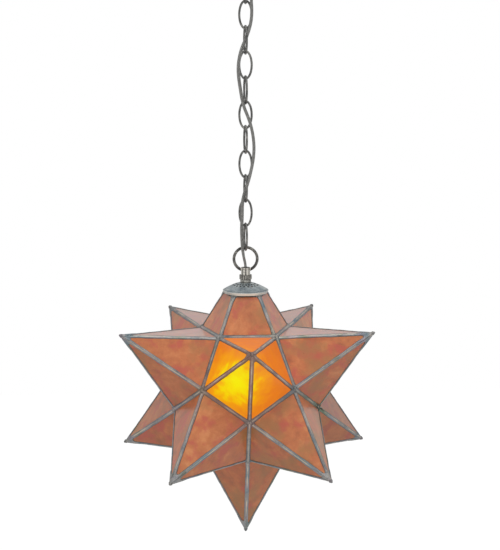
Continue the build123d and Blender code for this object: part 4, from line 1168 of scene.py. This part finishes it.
def keep_door(bm):
    """Cut a mesh back to the door's side of its three edges."""
    for neighbour in neighbours(DOOR_POINT):
        normal = door_plane(neighbour)
        clip(bm, CENTRE + normal * (DOOR_GAP / 2), normal)


def keep_body(bm, neighbour):
    """Cut a mesh back to the side of a door edge on which a neighbour stands."""
    normal = door_plane(neighbour)
    clip(bm, CENTRE - normal * (DOOR_GAP / 2), -normal)


def keep_between(bm, neighbour, other):
    """Cut a mesh back to a neighbour's side of the door, less what lies outside another door edge."""
    keep_body(bm, neighbour)
    clip(bm, CENTRE, door_plane(other))


# ---- the star's seams ----
def gather(target, make, cut=None):
    """Make one closed piece, cut it if asked, and add it to a larger mesh."""
    piece = bmesh.new()
    piece.verts.layers.float.new("shade")
    make(piece)
    if cut:
        cut(piece)
    bmesh.ops.recalc_face_normals(piece, faces=piece.faces[:])
    mesh = bpy.data.meshes.new("piece")
    piece.to_mesh(mesh)
    piece.free()
    target.from_mesh(mesh)
    bpy.data.meshes.remove(mesh)


def empty_pair():
    """Two empty meshes, for the star and for its door."""
    pair = bmesh.new(), bmesh.new()
    for bm in pair:
        bm.verts.layers.float.new("shade")
    return pair


def solder_piece(name, bm, body, node):
    """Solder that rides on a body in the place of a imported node."""
    piece = add_mesh(name, bm, SOLDER)
    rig.ride(piece, body)
    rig.replaces(piece, node)
    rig.slot(piece, "aged_pewter_solder")


def tip_solder(target, point):
    """The webs between the ridges of a point at its tip, and the drop on it."""
    apex = tip(point)
    for neighbour in neighbours(point):
        ends = base_corners(point, neighbour)
        normal = facet_normal(point, neighbour)
        reach = TIP_WEB * (1 + 0.2 * wander(apex + normal * 0.05, 60, 40))
        gather(target, partial(web, apex=apex, ends=ends, normal=normal, reach=reach, hollow=TIP_WEB_HOLLOW))
    place = apex - POINTS[point] * TIP_SETBACK
    gather(target, partial(blob, place=place, out=POINTS[point], radius=TIP_RADIUS, squash=TIP_STRETCH))


def mouth_solder(target, neighbour):
    """The webs in the two corners of a facet of the top point, under the cap."""
    ends = [(ridge_end("top", base), base) for base in base_corners("top", neighbour)]
    normal = facet_normal("top", neighbour)
    for (apex, base), (other, _) in (ends, reversed(ends)):
        fillet = partial(web, apex=apex, ends=[other, base], normal=normal)
        gather(target, partial(fillet, reach=MOUTH_WEB, hollow=FILLET_HOLLOW))


def latch_solder(target):
    """The fillets on both sides of the door's ridge at the corner with the bail."""
    for neighbour in LATCH_SIDES:
        far_end = max(base_corners(DOOR_POINT, neighbour), key=lambda end: (end - LATCH_CORNER).length)
        fillet = partial(
            web,
            apex=LATCH_CORNER,
            ends=[tip(DOOR_POINT), far_end],
            normal=facet_normal(DOOR_POINT, neighbour),
            reach=LATCH_WEB,
            hollow=FILLET_HOLLOW,
        )
        gather(target, fillet, keep_door)


def make_ridges():
    """Ridge seams with the solder at their ends."""
    star, door = empty_pair()
    latch_solder(door)
    for point in POINTS:
        target = door if point == DOOR_POINT else star
        for first, second in ridges(point):
            cut = None
            if point == DOOR_POINT:
                cut = keep_door
            elif DOOR_POINT in (first, second):
                cut = partial(keep_body, neighbour=point)
            gather(target, partial(ridge_bead, point=point, first=first, second=second), cut)
        if point != "top":
            tip_solder(target, point)
    for neighbour in neighbours("top"):
        mouth_solder(star, neighbour)
    solder_piece("ridge_solder", star, "lantern", "point_seams")
    solder_piece("door_ridge_solder", door, "door", "door_seams")


def make_valleys():
    """Valley seams with the pooled drops at the inner corners."""
    star, door = empty_pair()
    for first, second in combinations(POINTS, 2):
        if not side_by_side(first, second):
            continue
        seam = partial(valley_bead, first=first, second=second)
        if DOOR_POINT not in (first, second):
            gather(star, seam)
            continue
        other = second if first == DOOR_POINT else first
        gather(star, seam, partial(keep_body, neighbour=other))
        gather(door, seam, keep_door)
    for names in combinations(POINTS, 3):
        if not all(side_by_side(first, second) for first, second in combinations(names, 2)):
            continue
        out = (corner(*names) - CENTRE).normalized()
        place = corner(*names) + out * BLOB_RISE
        radius = LATCH_BLOB_RADIUS if set(names) == {DOOR_POINT, *LATCH_SIDES} else BLOB_RADIUS
        drop = partial(blob, place=place, out=out, radius=radius, squash=BLOB_SQUASH)
        if DOOR_POINT not in names:
            gather(star, drop)
            continue
        others = [name for name in names if name != DOOR_POINT]
        gather(star, drop, partial(keep_body, neighbour=others[0]))
        gather(star, drop, partial(keep_between, neighbour=others[1], other=others[0]))
        gather(door, drop, keep_door)
    solder_piece("valley_solder", star, "lantern", "valley_seams")
    solder_piece("door_frame_solder", door, "door", "door_frame")


make_ridges()
make_valleys()


# ---- stage and light ----
def make_stage():
    """A pale floor, which the camera, gloss and glass see as white."""
    nodes = Nodes("stage")
    nodes.set(Roughness=0.9, Base_Color=(FLOOR_PALENESS, FLOOR_PALENESS, FLOOR_PALENESS, 1))
    path = nodes.add("ShaderNodeLightPath")
    seen = nodes.math("MAXIMUM", path.outputs["Is Camera Ray"], path.outputs["Is Glossy Ray"])
    seen = nodes.math("MAXIMUM", seen, path.outputs["Is Transmission Ray"])
    white = nodes.add("ShaderNodeEmission")
    white.inputs["Strength"].default_value = FLOOR_WHITE
    mixed = nodes.add("ShaderNodeMixShader")
    nodes.join(nodes.math("MULTIPLY", seen, FLOOR_WHITE_SHARE), mixed.inputs["Fac"])
    nodes.join(nodes.shader.outputs["BSDF"], mixed.inputs[1])
    nodes.join(white.outputs["Emission"], mixed.inputs[2])
    nodes.join(mixed.outputs["Shader"], nodes.output.inputs["Surface"])
    bm = bmesh.new()
    bmesh.ops.create_grid(bm, x_segments=1, y_segments=1, size=FLOOR_REACH)
    floor = add_mesh("floor", bm, nodes.material, smooth=False)
    floor.location = (0, 0, CAD_BOX[0].z - FLOOR_DROP)
    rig.stage(floor)


def area_light(name, place, size, power):
    """A round soft light that faces the star."""
    lamp = bpy.data.lights.new(name, "AREA")
    lamp.shape = "DISK"
    lamp.size = size
    lamp.energy = power
    holder = bpy.data.objects.new(name, lamp)
    holder.location = place
    holder.rotation_euler = (CENTRE - Vector(place)).to_track_quat("-Z", "Y").to_euler()
    bpy.context.scene.collection.objects.link(holder)


def make_light():
    """Soft white light from all round, with one lamp above and one in front."""
    world = bpy.data.worlds.new("studio")
    world.use_nodes = True
    tree = world.node_tree
    path = tree.nodes.new("ShaderNodeLightPath")
    seen = tree.nodes.new("ShaderNodeMath")
    seen.operation = "MAXIMUM"
    tree.links.new(path.outputs["Is Camera Ray"], seen.inputs[0])
    tree.links.new(path.outputs["Is Transmission Ray"], seen.inputs[1])
    plain = tree.nodes["Background"]
    plain.inputs["Color"].default_value = (1, 1, 1, 1)
    plain.inputs["Strength"].default_value = WORLD_LEVEL
    white = tree.nodes.new("ShaderNodeBackground")
    white.inputs["Strength"].default_value = 1.0
    white.inputs["Color"].default_value = (1, 1, 1, 1)
    mixed = tree.nodes.new("ShaderNodeMixShader")
    tree.links.new(seen.outputs[0], mixed.inputs[0])
    tree.links.new(plain.outputs[0], mixed.inputs[1])
    tree.links.new(white.outputs[0], mixed.inputs[2])
    tree.links.new(mixed.outputs[0], tree.nodes["World Output"].inputs["Surface"])
    bpy.context.scene.world = world
    area_light("overhead", **OVERHEAD_LAMP)
    area_light("front", **FRONT_LAMP)


make_stage()
make_light()
bpy.context.scene.view_settings.view_transform = "Standard"

visual_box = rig.bounds()
with open("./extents.json", "w") as size_file:
    json.dump({"cad": [list(c) for c in CAD_BOX], "visual": [list(c) for c in visual_box]}, size_file)
